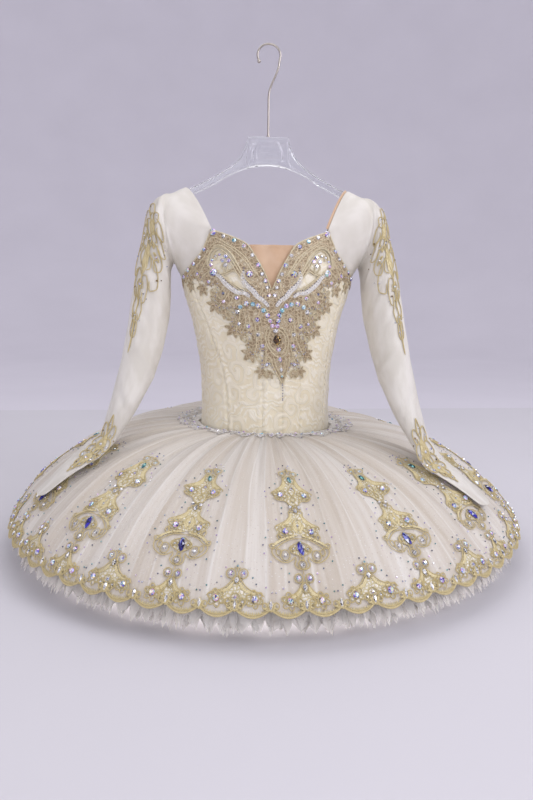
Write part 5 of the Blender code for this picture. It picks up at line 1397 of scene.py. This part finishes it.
# the tall motif, half of it: millimetres across, share of the skirt's length
tallMotif = {
    "lift": 0.0009, "wall": 0.0007, "crown": 0.0007, "cord": 0.0008, "groundLift": 0.0002, "groundWall": 0.0006,
    # lace grounds under the cords
    "grounds": [
        [(0, 0.484), (7, 0.494), (9.5, 0.512), (12, 0.54), (20, 0.56), (29, 0.58), (22, 0.602), (12, 0.614),
        (8, 0.63), (3, 0.64), (0, 0.64)], [(0, 0.656), (5, 0.658), (9.5, 0.672), (13, 0.695), (22, 0.708),
        (31, 0.722), (28, 0.744), (16, 0.75), (0, 0.746)], [(0, 0.786), (7, 0.78), (14, 0.788), (14, 0.804),
        (6, 0.812), (0, 0.818)], [(0, 0.9), (3, 0.902), (8, 0.92), (14, 0.936), (24, 0.942), (32, 0.954),
        (24, 0.97), (10, 0.972), (0, 0.962)]],
    # leaves of satin stitch, on both sides
    "leaves": [
        [(5.5, 0.5), (8.5, 0.504), (9.5, 0.518), (12, 0.54), (18, 0.559), (26, 0.574), (18, 0.571), (11, 0.562),
        (7.5, 0.548), (6.5, 0.534), (8, 0.518), (7, 0.508)], [(5, 0.668), (9, 0.671), (10.5, 0.683),
        (14, 0.697), (21, 0.708), (29, 0.717), (20, 0.715), (12, 0.708), (8, 0.698), (6.5, 0.684)], [(3, 0.742),
        (8, 0.724), (6, 0.702), (2.5, 0.69), (0.8, 0.712), (0.8, 0.736)], [(2, 0.902), (5, 0.906), (8.5, 0.922),
        (13, 0.934), (20, 0.942), (27, 0.948), (17, 0.947), (9, 0.94), (5, 0.927)]],
    "wings": [
        [(1.5, 0.748), (8, 0.749), (16, 0.753), (25, 0.761), (33, 0.773), (39, 0.79), (35, 0.788), (27, 0.772),
        (17, 0.7615), (7, 0.7555)]],
    "cords": [
        [(0, 0.438), (0.5, 0.452), (0, 0.478)], [(0, 0.464), (4, 0.458), (6.5, 0.463), (4.5, 0.47)],
        [(0, 0.492), (6.5, 0.503), (8, 0.517), (5.5, 0.532), (0, 0.54)], [(3, 0.486), (9, 0.496), (10, 0.52),
        (14, 0.546), (22, 0.563), (29, 0.577), (30, 0.586)], [(0, 0.548), (4, 0.56), (5, 0.575), (2, 0.59),
        (0, 0.596)], [(8, 0.606), (9, 0.622), (5, 0.636)], [(28, 0.598), (22, 0.611), (12, 0.616), (7, 0.628)],
        [(5, 0.656), (10, 0.664), (9, 0.678), (14, 0.694), (22, 0.706), (30, 0.716), (31, 0.727)], [(0, 0.69),
        (5, 0.7), (6, 0.715), (3, 0.728), (0, 0.734)], [(0, 0.76), (8, 0.761), (18, 0.768), (26, 0.78),
        (33, 0.793), (40, 0.794), (41, 0.783), (36, 0.78), (34, 0.786)], [(35, 0.789), (39, 0.801), (37, 0.82),
        (29, 0.834), (20, 0.838), (13, 0.83), (9, 0.82)], [(9, 0.82), (8, 0.832), (10.5, 0.846), (6, 0.858),
        (0, 0.861)], [(0, 0.768), (5, 0.776), (12, 0.784), (15.5, 0.795), (12, 0.807), (5, 0.814), (0, 0.822)],
        [(0, 0.861), (0, 0.878)], [(2, 0.898), (7, 0.916), (13, 0.932), (22, 0.94), (30, 0.949)], [(3, 0.926),
        (8, 0.942), (14, 0.953), (9, 0.962)]],
    # flowers: across, share, radius in mm, petals; loops: across, share, half width and length in mm
    "flowers": [(17, 0.59, 10.5, 6), (0, 0.65, 8, 5), (17.5, 0.735, 11, 6), (20.5, 0.955, 11.5, 6)],
    "loops": [
        (8.5, 0.478, 5.2, 5.6), (0, 0.61, 3.4, 5), (21.5, 0.815, 6.5, 7.5), (0, 0.845, 5.6, 6),
        (9.8, 0.795, 3.8, 3), (0, 0.8255, 2.6, 3.2), (7, 0.887, 5.6, 6), (0, 0.915, 4.6, 7),
        (30, 0.806, 3.6, 4.6), (27, 0.754, 3, 4), (8, 0.958, 3.6, 4.6)],
    # stones: across, share, half width, half length, height in mm, turn, tint
    "stones": [
        (0, 0.516, 3.2, 7, 3, 0.25, "teal"), (17, 0.59, 4.2, 3, "ab"),
        (6.2, 0.644, 2.7, 2, "clear"), (0.001, 0.66, 2.9, 3.6, 2.2, 0, "clear"),
        (17.5, 0.735, 4.5, 3.2, "ab"), (0.001, 0.795, 4.6, 10.2, 3.8, 0.2, "sapphire"),
        (21.5, 0.815, 3, 2.2, "clear"), (0.001, 0.846, 3.2, 2.4, "clear"),
        (7, 0.887, 3.2, 3.2, 2.4, 0.3, "ab"), (0.001, 0.915, 2.9, 4.6, 2.4, 0, "clear"),
        (20.5, 0.955, 4.2, 3, "ab"), (9.6, 0.795, 1.5, 1.2, "clear"),
        (8.5, 0.478, 1.6, 1.3, "aqua"), (0.001, 0.562, 2, 1.6, "ab"),
        (0.001, 0.716, 1.8, 1.4, "clear"), (0.001, 0.775, 1.6, 1.3, "aqua"),
        (0.001, 0.447, 1.8, 1.4, "ab")],
    # the line that the loose dots follow outside it
    "dots": [
        (4, 0.424), (12, 0.446), (17, 0.478), (18, 0.51), (25, 0.542), (36, 0.566), (40, 0.59), (33, 0.62),
        (19, 0.64), (19, 0.664), (28, 0.69), (40, 0.708), (41, 0.738), (47, 0.766), (50, 0.792), (46, 0.824),
        (34, 0.85), (20, 0.864), (19, 0.892), (27, 0.915), (38, 0.93)],
}
smallMotif = {
    "grounds": [
        [(0, 0.896), (4, 0.9), (11, 0.918), (20, 0.93), (33, 0.94), (34, 0.96), (22, 0.97), (9, 0.96),
        (0, 0.956)]],
    "leaves": [
        [(2.5, 0.896), (6.5, 0.902), (12, 0.918), (20, 0.927), (31, 0.934), (22, 0.935), (13, 0.93), (7, 0.92),
        (4, 0.908)]],
    "cords": [
        [(0, 0.844), (0.4, 0.855), (0, 0.868)], [(0, 0.86), (3.5, 0.856), (5, 0.862)], [(3, 0.886), (8, 0.9),
        (13, 0.914), (21, 0.925), (31, 0.931), (37, 0.943)], [(0, 0.93), (5, 0.938), (6, 0.95), (0, 0.958)],
        [(8, 0.944), (13, 0.955), (10, 0.966)]],
    "flowers": [(24.5, 0.949, 11.5, 6)],
    "loops": [(8, 0.874, 6.2, 6.4), (0, 0.893, 4, 5), (9.5, 0.958, 3.8, 4.8), (0, 0.968, 4.2, 4.4)],
    "stones": [
        (8, 0.874, 3.1, 2.3, "ab"), (0.001, 0.893, 3, 4, 2.4, 0, "clear"),
        (24.5, 0.949, 4.5, 3.2, "ab"), (0.001, 0.945, 2.2, 1.6, "ab"),
        (9.5, 0.958, 1.6, 1.3, "clear"), (0.001, 0.851, 1.6, 1.3, "aqua")],
    "dots": [(5, 0.836), (14, 0.852), (20, 0.876), (21, 0.896), (29, 0.908), (40, 0.916), (46, 0.93)],
}
dotSpacing, dotTints = 0.0118, ("dark", "ab", "teal", "rose", "clear")


def motifShapes(motif):
    # the flat shapes of a motif, worked out once for all its repeats
    outlines = mirroredPaths([onCloth(line) for line in motif["leaves"] + motif.get("wings", [])])
    fills = [flatFill(feathered(np.concatenate([line, line[:1]]), 0.0022, 0.0005)[:-1], [], 0.0034)
             for line in outlines]
    grounds = [flatFill(onCloth(mirroredLine(half)), [], 0.0036) for half in motif["grounds"]]
    cords = [(smoothPath(path, 0.0034), False) for line in motif["cords"]
             for path in mirroredPaths([onCloth(line)])]
    for x, share, radius, petals in bothSides(motif["flowers"]):
        centre = (x * millimetre, share * brim["length"])
        cords.append((flower(*centre, radius * millimetre, petals, 0.42, 0.2), True))
        cords.append((loop(*centre, 0.44 * radius * millimetre, 0.44 * radius * millimetre)[::2], True))
    for x, share, across, along in bothSides(motif["loops"]):
        cords.append((clothLoop(x, share, across, along), True))
    return grounds, fills, cords


def motifParts(shapes, ground):
    # the flat shapes laid on the skirt: lace grounds, satin on them, cords over both
    grounds, fills, cords = shapes
    lift = tallMotif["lift"] + tallMotif["wall"]
    parts = [(*fillOn(ground, fill, tallMotif["groundLift"], tallMotif["groundWall"], 0.0, -1.0), 2)
             for fill in grounds]
    parts += [(*fillOn(ground, fill, tallMotif["lift"], tallMotif["wall"], tallMotif["crown"], -1.0), 0)
              for fill in fills]
    parts += [(*cordOn(ground, path, tallMotif["cord"], lift, closed, -1.0, 4), 1) for path, closed in cords]
    return parts


def looseDots(motif):
    # small flat-backed stones about dotSpacing apart along the motif's outer line, on both sides
    rows = []
    for path in mirroredPaths([onCloth(motif["dots"])]):
        for number, (x, y) in enumerate(smoothPath(path, dotSpacing).tolist()):
            rows.append((x, y, 0.00125, 0.00125, 0.0012, 0.0, dotTints[(number * 3 + int(x > 0)) % 5]))
    return rows


def meridian(index):
    # azimuth of a repeat, -180 to 180
    return (hemShape["start"] + 360.0 * index / hemShape["repeats"] + 180.0) % 360.0 - 180.0


goldFinishes = ("goldSatin", "goldCord", "goldLace")
tallShapes, smallShapes = motifShapes(tallMotif), motifShapes(smallMotif)
tallMotifs, brimStones = [], []
stoneLift = tallMotif["lift"] + tallMotif["wall"] + 0.0004
for index in range(hemShape["repeats"]):
    ground = skirtGround(meridian(index))
    tallMotifs.append(makeTrim(f"tallMotif{index + 1:02d}", motifParts(tallShapes, ground),
                               goldFinishes, "gold_lace", (f"skirt_motif_{index + 1:02d}",)))
    brimStones.append(stonesOn(ground, stoneRows(tallMotif["stones"]), 8, stoneLift, -1.0))
    brimStones.append(stonesOn(ground, looseDots(tallMotif), 6, 0.0004, -1.0))
print("tall motifs:", len(tallMotifs))


# one scallop of the gold hem: millimetres across its middle, share of the skirt's length
scallop = {
    "half": 22.9, "thick": (0.0028, 0.0070), "comb": 0.0019, "edgeCord": 0.0011, "lift": 0.0006,
    "crown": 0.0006, "fineCord": 0.0008, "innerRise": 0.0004, "leafRise": 0.0009, "loopRise": 0.0012,
    "leaf": [(0, 0.95), (2.6, 0.959), (7.5, 0.964), (5, 0.97), (10.5, 0.975), (5, 0.981), (0, 0.984)],
    "leafLoops": [(7, 0.969, 3.4, 4), (0, 0.976, 3, 3.2)],
    "leafStone": (0.0, 0.9660, 2.5, 5.2, 2.4, 0.0, "clear"),
}


def hemParts(start, end):
    # for each scallop a combed crescent between the hem and thick inside it, a cord along the hem,
    # and a leaf over the notch it starts from
    half = scallop["half"]
    x = np.linspace(-half, half, 25)
    hem = hemShape["notch"] + hemShape["deep"] * np.abs(np.cos(np.pi * x / (2 * half))) ** 0.7
    thick = scallop["thick"][0] + scallop["thick"][1] * np.cos(np.pi * x / (2 * half)) ** 0.8
    lower = onCloth(np.stack([x, hem], 1))
    upper = feathered(onCloth(np.stack([x, hem - thick], 1)), 0.0024, scallop["comb"])
    crescent = flatFill(np.concatenate([upper, lower[::-1]]), [], 0.0036)
    leaf = flatFill(onCloth(mirroredLine(scallop["leaf"])), [], 0.0034)
    lift = scallop["lift"] + tallMotif["wall"]
    parts = []
    for index in range(start, end):
        step = 360.0 / hemShape["scallops"]
        middle = skirtGround(hemShape["start"] + (index + 0.5) * step)
        notch = skirtGround(hemShape["start"] + index * step)
        parts.append((*fillOn(middle, crescent, scallop["lift"], tallMotif["wall"], scallop["crown"], -1.0), 0))
        parts.append((*cordOn(middle, lower, scallop["edgeCord"], lift, False, -1.0, 5), 1))
        inner = onCloth(np.stack([x, hem - thick * 0.55], 1))[2:-2]
        high = lift + scallop["innerRise"]
        parts.append((*cordOn(middle, inner, scallop["fineCord"], high, False, -1.0, 4), 1))
        high = scallop["lift"] + scallop["leafRise"]
        parts.append((*fillOn(notch, leaf, high, tallMotif["wall"], scallop["crown"], -1.0), 0))
        high = lift + scallop["loopRise"]
        for x0, share, across, along in bothSides(scallop["leafLoops"]):
            path = clothLoop(x0, share, across, along)
            parts.append((*cordOn(notch, path, scallop["fineCord"], high, True, -1.0, 4), 1))
        brimStones.append(stonesOn(notch, stoneRows([scallop["leafStone"]]), 8, high, -1.0))
    for index in range(start // 4, end // 4):
        ground = skirtGround(meridian(index + 0.5))
        parts += motifParts(smallShapes, ground)
        brimStones.append(stonesOn(ground, stoneRows(smallMotif["stones"]), 8, stoneLift, -1.0))
        brimStones.append(stonesOn(ground, looseDots(smallMotif), 6, 0.0004, -1.0))
    return parts


hemLaces = [makeTrim(f"hemLace{sideName.capitalize()}", hemParts(start, start + 32), goldFinishes,
                     "gold_lace", (f"hem_lace_{sideName}",))
            for sideName, start in (("left", 0), ("right", 32))]
print("gold hem made")


# the beaded lace round the waist: one repeat, millimetres across, share of the skirt's length
waistTrim = {
    "cord": 0.0008, "lift": 0.0006, "deeper": 1.35, "wall": 0.0007, "crown": 0.0006, "cordLift": 0.0016,
    "stoneLift": 0.0018,
    "band": [
        (-20.6, 0.012), (20.6, 0.012), (20.6, 0.026), (14, 0.038), (7, 0.032), (0, 0.046), (-7, 0.032),
        (-14, 0.038), (-20.6, 0.026)],
    "cords": [
        [(0, 0.02), (6, 0.03), (12, 0.05), (17, 0.062), (21, 0.056), (19, 0.047), (15, 0.05)], [(0, 0.046),
        (5, 0.06), (4, 0.076), (0, 0.086)], [(8, 0.026), (14, 0.032), (21, 0.03)], [(3, 0.052), (9, 0.062),
        (11, 0.074), (7, 0.08), (5, 0.072)]],
    "flowers": [(0, 0.066, 5.4, 5), (20.6, 0.082, 5, 5)],
    "stones": [
        (0.001, 0.066, 2.4, 1.8, "ab"), (20.6, 0.048, 2, 1.5, "clear"),
        (12, 0.036, 1.5, 1.2, "clear"), (20.6, 0.082, 1.8, 1.4, "rose"),
        (16, 0.066, 1.4, 1.1, "ab"), (9, 0.088, 1.2, 1, "dark")],
    "navettes": [
        (0.001, 0.032, 2.3, 5, 2.2, 1.57, "aqua"), (0.001, 0.032, 2.3, 5, 2.2, 1.57, "ab"),
        (0.001, 0.032, 2.6, 2, "rose")],
}


def waistParts(start, end):
    # net band with a waved edge, scroll cords and flowers, repeated round the waist
    deeper = (1.0, waistTrim["deeper"])
    band = flatFill(onCloth(waistTrim["band"])[::-1] * deeper, [], 0.0034)
    cords = [(smoothPath(path, 0.0030), False) for line in waistTrim["cords"]
             for path in mirroredPaths([onCloth(line) * deeper])]
    for x, share, radius, petals in waistTrim["flowers"]:
        centre = (x * millimetre, share * brim["length"] * deeper[1])
        cords.append((flower(*centre, radius * millimetre, petals, 0.4), True))
    parts = []
    for index in range(start, end):
        ground = skirtGround(-171.0 + index * 18.0)
        parts.append((*fillOn(ground, band, waistTrim["lift"], waistTrim["wall"], waistTrim["crown"], -1.0), 0))
        parts += [(*cordOn(ground, path, waistTrim["cord"], waistTrim["cordLift"], closed, -1.0, 4), 1)
                  for path, closed in cords]
        stones = waistTrim["stones"] + [waistTrim["navettes"][index % 3]]
        rows = [(row[0], row[1] * deeper[1], *row[2:]) for row in stoneRows(stones)]
        brimStones.append(stonesOn(ground, rows, 8, waistTrim["stoneLift"], -1.0))
    return parts


waistLaces = [makeTrim(f"waistLace{sideName.capitalize()}", waistParts(start, start + 10),
                       ("silverLace", "silverCord"), "silver_lace", (f"waist_lace_{sideName}",))
              for sideName, start in (("right", 0), ("left", 10))]
skirtStones = [makeStones(f"skirtStones{number + 1}", brimStones[number::3], "silver_lace")
               for number in range(3)]
print("waist lace and skirt stones made")


# sleeve embroidery on the outer line: degrees of turn and ring, which flat draws as lengths
sleeveTrim = {
    "flat": (0.001, 0.03), "lift": 0.0006, "wall": 0.0008, "crown": 0.0006, "cord": 0.0010,
    "cordLift": 0.0016, "flowerCord": 0.0009, "flowerLift": 0.0018,
    # by ring of the flat drawing: its ring on the sleeve, how much wider, degrees towards the front
    "along": [(1.85, 5.85, 7.2, 12.3), (2.1, 6.7, 8.3, 11.9)],
    "widen": [(1.8, 2.6, 3.6, 4.4, 6, 7.2, 9, 12.3), (3.6, 3.2, 2, 1.3, 1, 2.4, 2.1, 1.2)],
    "shift": [(1.8, 3, 4.4, 6, 7.2, 8.5), (66, 64, 48, 32, 36, 40)],
    "upper": {
        "squash": 0.37,
        "cords": [
            [(0, 1.85), (3, 2.2), (-3, 2.7), (3, 3.3), (-2, 3.9), (2, 4.5), (-1, 5.1), (0, 5.85)], [(1, 2.1),
            (7, 1.95), (12, 2.15), (11, 2.42), (6, 2.45), (5, 2.28)], [(0, 2.7), (9, 2.5), (16, 2.65),
            (19, 2.95), (14, 3.15), (9, 3.02), (11, 2.85)], [(2, 3.2), (12, 3.05), (21, 3.3), (24, 3.62),
            (18, 3.82), (12, 3.66), (15, 3.48)], [(0, 3.7), (13, 3.62), (25, 3.85), (30, 4.15), (22, 4.32),
            (16, 4.14)], [(1, 4.2), (10, 4.1), (17, 4.35), (16, 4.65), (9, 4.66), (8, 4.48)], [(0, 4.7),
            (8, 4.62), (12, 4.88), (8, 5.08), (5, 4.95)], [(0, 5.2), (6, 5.1), (8, 5.35), (4, 5.48)], [(4, 2.6),
            (9, 2.8), (6, 3)], [(5, 3.55), (11, 3.85), (6, 4.02)]],
        "fills": [
            [(0, 2.3), (3, 2.5), (4.5, 2.75), (2, 2.95), (0, 3.1)], [(0, 3.35), (4, 3.6), (6, 3.95), (3, 4.1),
            (0, 4.2)]],
        "flowers": [(0, 3.22, 9, 6), (0, 4.38, 8, 5), (13, 3.42, 5, 5)],
        "stones": [
            (0, 3.22, 2.8), (0, 4.38, 2.4), (11, 2.28, 1.8), (17, 2.8, 1.8), (13, 3.42, 2.2), (25, 3.95, 1.8),
            (12, 4.5, 1.8), (0, 2, 1.8), (0, 5, 1.8), (6, 5.3, 1.5), (24, 3.1, 1.3), (30, 3.8, 1.3),
            (20, 4.55, 1.3), (14, 5.05, 1.3), (17, 2.3, 1.3)]},
    "cuff": {
        "squash": 1.10,
        "cords": [
            [(0, 7.2), (4, 7.8), (-3, 8.5), (3, 9.3), (-3, 10.2), (2, 11.2), (0, 12.3)], [(1, 7.9), (10, 7.6),
            (17, 7.9), (15, 8.3), (9, 8.3), (9, 8.05)], [(0, 8.5), (12, 8.3), (22, 8.6), (25, 9.1), (17, 9.3),
            (12, 9.05)], [(0, 9.2), (10, 9.2), (21, 9.5), (20, 10.1), (11, 10.1)], [(0, 10), (13, 9.9),
            (25, 10.3), (22, 10.8), (13, 10.7)], [(0, 10.8), (10, 10.8), (15, 11.3), (8, 11.6)], [(0, 11.5),
            (6, 11.6), (6, 12)], [(4, 8.8), (9, 9.6), (5, 10)]],
        "fills": [
            [(0, 8), (7, 8.4), (12, 8.9), (7, 9.3), (0, 9.6)], [(0, 9.9), (10, 10.2), (14, 10.7), (6, 11.2),
            (0, 11.6)]],
        "flowers": [(0, 8.9, 9, 6), (0, 10.6, 8.5, 6)],
        "stones": [
            (0, 8.9, 3), (0, 10.6, 3), (13, 8, 2), (18, 8.9, 2.2), (16, 9.8, 2), (18, 10.5, 2.2),
            (9, 11.3, 1.8), (0, 11.8, 2), (0, 7.6, 1.8), (22, 9.5, 1.4), (24, 8.3, 1.3), (27, 9.9, 1.3)]},
}


def sleeveGround(side, lies):
    # flat (turn / 1000, ring x 0.03) on the sleeve's creased surface, wider towards the shoulder and
    # set towards the front: turn = flat widen(ring) + shift(ring)
    def ground(flat):
        ring = flat[:, 1] / sleeveTrim["flat"][1]
        along, widen, shift = (np.interp(ring, *sleeveTrim[key]) for key in ("along", "widen", "shift"))
        return sleeveSurface(side, lies, flat[:, 0] * 1000 * side * widen + shift, along)
    return ground


def makeSleeveTrim(sideName, side, kind):
    # satin leaves under scroll cords, mirrored about the sleeve's outer line
    name = f"{kind}Lace{sideName.capitalize()}"
    trim, ground = sleeveTrim[kind], sleeveGround(side, sleeves["lies"][sideName])
    scale = np.array(sleeveTrim["flat"])
    parts = []
    for half in trim["fills"]:
        fill = flatFill(mirroredLine(np.asarray(half) * scale), [], 0.0036)
        parts.append((*fillOn(ground, fill, *(sleeveTrim[key] for key in ("lift", "wall", "crown"))), 0))
    for line in trim["cords"]:
        for path in mirroredPaths([np.asarray(line) * scale]):
            path = smoothPath(path, 0.0022)
            parts.append((*cordOn(ground, path, sleeveTrim["cord"], sleeveTrim["cordLift"]), 1))
    for turn, ring, radius, petals in bothSides(trim["flowers"]):
        path = flower(0.0, 0.0, radius * millimetre, petals, 0.42) * (1.0, trim["squash"])
        path = path + (turn, ring) * scale
        parts.append((*cordOn(ground, path, sleeveTrim["flowerCord"], sleeveTrim["flowerLift"], True), 1))
    rows = [(turn * scale[0], ring * scale[1], size * millimetre, size * millimetre,
             size * 0.75 * millimetre, 0.0, ("clear", "ab", "topaz", "clear")[number % 4])
            for number, (turn, ring, size) in enumerate(bothSides(trim["stones"]))]
    return (makeTrim(name, parts, ("goldSatin", "goldCord"), "gold_lace", (f"sleeve_{sideName}_{kind}_lace",)),
            makeStones(name + "Stones", [stonesOn(ground, rows, 8, sleeveTrim["flowerLift"])],
                       "silver_lace"))


for sideName, side in sideSigns.items():
    for kind in ("upper", "cuff"):
        makeSleeveTrim(sideName, side, kind)
print("sleeve laces made")


hangerLook = {"recess": 0.0020, "ribRise": 0.0019, "ribAt": 0.0205, "ribSway": 0.0050, "ribWidth": 0.0026,
              "square": 0.30, "sides": 56}


def tubeFaces(count, sides):
    # triangles between count rings of points, with a fan over each end
    fan = np.array([[0, k + 1, k] for k in range(1, sides - 1)])
    return np.concatenate([trianglesOf(gridFaces(count, sides, True)), fan, fan[:, ::-1] + (count - 1) * sides])


def makeHanger():
    # rounded bar: at each x the profile y = half depth |cos|^square, z between the lower and upper
    # edges; the faces sink between rims, and two swaying ribs rise on the block
    x = np.concatenate([np.linspace(0, 0.05, 71)[:-1], np.linspace(0.05, 0.2035, 70)[:-1],
                        hangerShape["half"] - 0.0025 * np.linspace(1, 0, 9) ** 1.5])
    x = np.concatenate([-x[:0:-1], x])
    top = hangerTop(x)
    bottom = np.where(np.abs(x) < 0.105, 0.6593 - 3.7 * x ** 2, top - 0.0165)
    shrink = 0.55 + 0.45 * np.clip((hangerShape["half"] - np.abs(x)) / 0.005, 0, 1) ** 0.5
    half = hangerShape["thick"] / 2 * (1 + 0.9 * np.exp(-(x / 0.035) ** 4)) * shrink
    turn = circle(hangerLook["sides"])
    cosine, sine = np.cos(turn), np.sin(turn)
    y = np.sign(cosine) * np.abs(cosine) ** hangerLook["square"]
    rise = np.sign(sine) * np.abs(sine) ** 0.62
    share = (rise[None] * shrink[:, None] + 1) / 2
    z = bottom[:, None] + (top - bottom)[:, None] * share
    sunk = 1 / (1 + np.exp(-(share - 0.17) / 0.02)) / (1 + np.exp((share - 0.83) / 0.02))
    sunk = sunk * np.clip((hangerShape["half"] - 0.012 - np.abs(x)) / 0.006, 0, 1)[:, None]
    ribLine = hangerLook["ribAt"] + hangerLook["ribSway"] * np.sin(2 * np.pi * (share - 0.15))
    rib = np.exp(-((np.abs(x)[:, None] - ribLine) / hangerLook["ribWidth"]) ** 2)
    rib = rib + np.exp(-((np.abs(x)[:, None] - 0.0365 - 0.004 * (1 - share) ** 2) / 0.0024) ** 2)
    deep = half[:, None] - hangerLook["recess"] * sunk + hangerLook["ribRise"] * np.clip(rib, 0, 1) * sunk
    points = np.stack([np.broadcast_to(x[:, None], z.shape), y[None] * deep, z], -1)
    makePiece("hangerBar", points.reshape(-1, 3), tubeFaces(len(x), len(turn)), None, "clearPlastic",
              "clear_plastic", ("hanger",))


hook = {"wire": 0.0021, "radius": 0.0226, "sides": 20, "collar": 0.0040, "tipBall": 0.0038}


def makeHook():
    # a wire's centre line: straight shaft, an S to one side, then an arc of 217 degrees; a round
    # section of hook wire carried along it, swollen into a collar at the foot and a ball at the tip
    centre = hookHeight + hook["wire"] - hook["radius"]
    ease = np.linspace(0, 1, 6)
    neck = np.stack([hook["radius"] * 0.92 * ease ** 2 * (3 - 2 * ease), centre - 0.082 + 0.0715 * ease], 1)
    arc = np.radians(np.linspace(-12, 205, 17))
    crook = np.stack([hook["radius"] * np.cos(arc), centre + hook["radius"] * np.sin(arc)], 1)
    blockTop = hangerShape["blockTop"]
    shaft = np.array([(0, blockTop + 0.0035), (0, blockTop + 0.040), (0, centre - 0.095)])
    knots = np.concatenate([shaft, neck, crook])
    line = smoothAlong(knots, np.linspace(0, len(knots) - 1, 260))
    way = unitOf(np.gradient(line, axis=0))
    # both ends: distance past the wire's end, and radius there
    foot = np.array([(-0.0031, 0.0034), (-0.0028, hook["collar"]), (-0.0008, hook["collar"]),
                     (-0.0002, 0.0026)])
    ball = np.array([(0.0006, 0.0026), (0.0016, 0.0034), (0.0032, hook["tipBall"]), (0.0048, 0.0034),
                     (0.0060, 0.0022), (0.0065, 0.0010)])
    middle = np.concatenate([line[0] + way[0] * foot[:, :1], line, line[-1] + way[-1] * ball[:, :1]])
    ways = np.concatenate([np.repeat(way[:1], len(foot), 0), way, np.repeat(way[-1:], len(ball), 0)])
    radius = np.concatenate([foot[:, 1], np.full(len(line), hook["wire"]), ball[:, 1]])
    turn = circle(hook["sides"])
    aside = np.stack([ways[:, 1], -ways[:, 0]], 1)
    x = middle[:, :1] + radius[:, None] * np.cos(turn) * aside[:, :1]
    z = middle[:, 1:] + radius[:, None] * np.cos(turn) * aside[:, 1:]
    y = radius[:, None] * np.sin(turn) + 0 * x
    points = np.stack([x, y, z], -1)
    makePiece("hangerHook", points.reshape(-1, 3), tubeFaces(len(middle), len(turn)), None, "steel",
              "steel", ("hanger_hook",))


makeHanger()
makeHook()

closures = {"pairs": 15, "low": 0.196, "high": 0.456, "wire": 0.0006, "reach": 0.0058, "eyeRise": 0.0008,
            "hookRise": 0.0016}
edging = {"cord": 0.0012, "lift": 0.0002, "below": 0.0009}


def makeClosures():
    # bent wire eyes and hooks in two rows down the centre back
    back = math.radians(180.0) * bodice["laceRadius"]
    shape = np.array([(1.0, -0.0019), (0.25, -0.0021), (-0.12, 0.0), (0.25, 0.0021), (1.0, 0.0019)])
    parts = []
    for height in np.linspace(closures["low"], closures["high"], closures["pairs"]):
        for way, rise in ((-1.0, closures["eyeRise"]), (1.0, closures["hookRise"])):
            path = shape * (closures["reach"] * way, 1.0) + (back, height)
            parts.append((*cordOn(bodyGround, smoothPath(path, 0.0012), closures["wire"], rise), 0))
    return makeTrim("backHooksAndEyes", parts, ("steel",), "steel", ())


def makeEdging():
    # a piped top edge round the armholes and the back: a cord just below the cut
    parts = []
    for places in (np.linspace(7, 16.95, 90), np.linspace(17, 20.97, 44)):
        for path in mirroredPaths([bodyFlat(cutAt(places)[:, :2], 1) - (0.0, edging["below"])]):
            parts.append((*cordOn(bodyGround, path, edging["cord"], edging["lift"]), 0))
    return makeTrim("topEdgePiping", parts, ("brocade",), "brocade", ())


makeClosures()
makeEdging()


elastic = {"half": 0.0024, "thick": 0.0007, "inside": (-0.0030, 0.0012, 0.0), "sides": 10}


def makeShoulderElastic():
    # a narrow skin-tone elastic inside the left sleeve's front neck edge: oval section carried along
    # the edge's own curve, from the bodice's corner to the shoulder
    share = np.linspace(0.03, 0.97, 40)[:, None]
    angle, height = bodice["cut"][bodice["corners"][1], :2]
    edge = bodyPoint(np.array([angle]), np.array([height + sleeves["overEdge"]]))[0]
    ridge = shoulderRidge(sideSigns["left"])
    line = ridge + (edge - ridge) * np.concatenate([share, share ** 0.8, share ** 1.4], 1) + elastic["inside"]
    way = unitOf(np.gradient(line, axis=0))
    across = unitOf(np.cross(way, (0.0, 1.0, 0.0)))
    deep = np.cross(across, way)
    turn = circle(elastic["sides"])
    ring = (elastic["half"] * np.cos(turn)[None, :, None] * across[:, None]
            + elastic["thick"] * np.sin(turn)[None, :, None] * deep[:, None])
    points = (line[:, None] + ring).reshape(-1, 3)
    faces = tubeFaces(len(line), len(turn))
    a, b, c = (points[faces[:, k]] for k in range(3))
    if (np.cross(a, b) * c).sum() < 0:
        faces = faces[:, ::-1]
    uv = np.stack(np.broadcast_arrays(share * 0.1, (turn * 0.002)[None, :]), -1).reshape(-1, 2)
    makeTrim("shoulderElastic", [(points, faces, uv, 0)], ("skinMesh",), "skin_tone", ())


makeShoulderElastic()
print("hanger, hook, closures and edging made")


sizes = {piece.name: sum(len(face.vertices) - 2 for face in piece.data.polygons)
         for piece in bpy.data.objects if piece.type == "MESH" and piece.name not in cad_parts}
print("triangles:", sum(sizes.values()), "most:", sorted(sizes.items(), key=lambda row: -row[1])[:4])
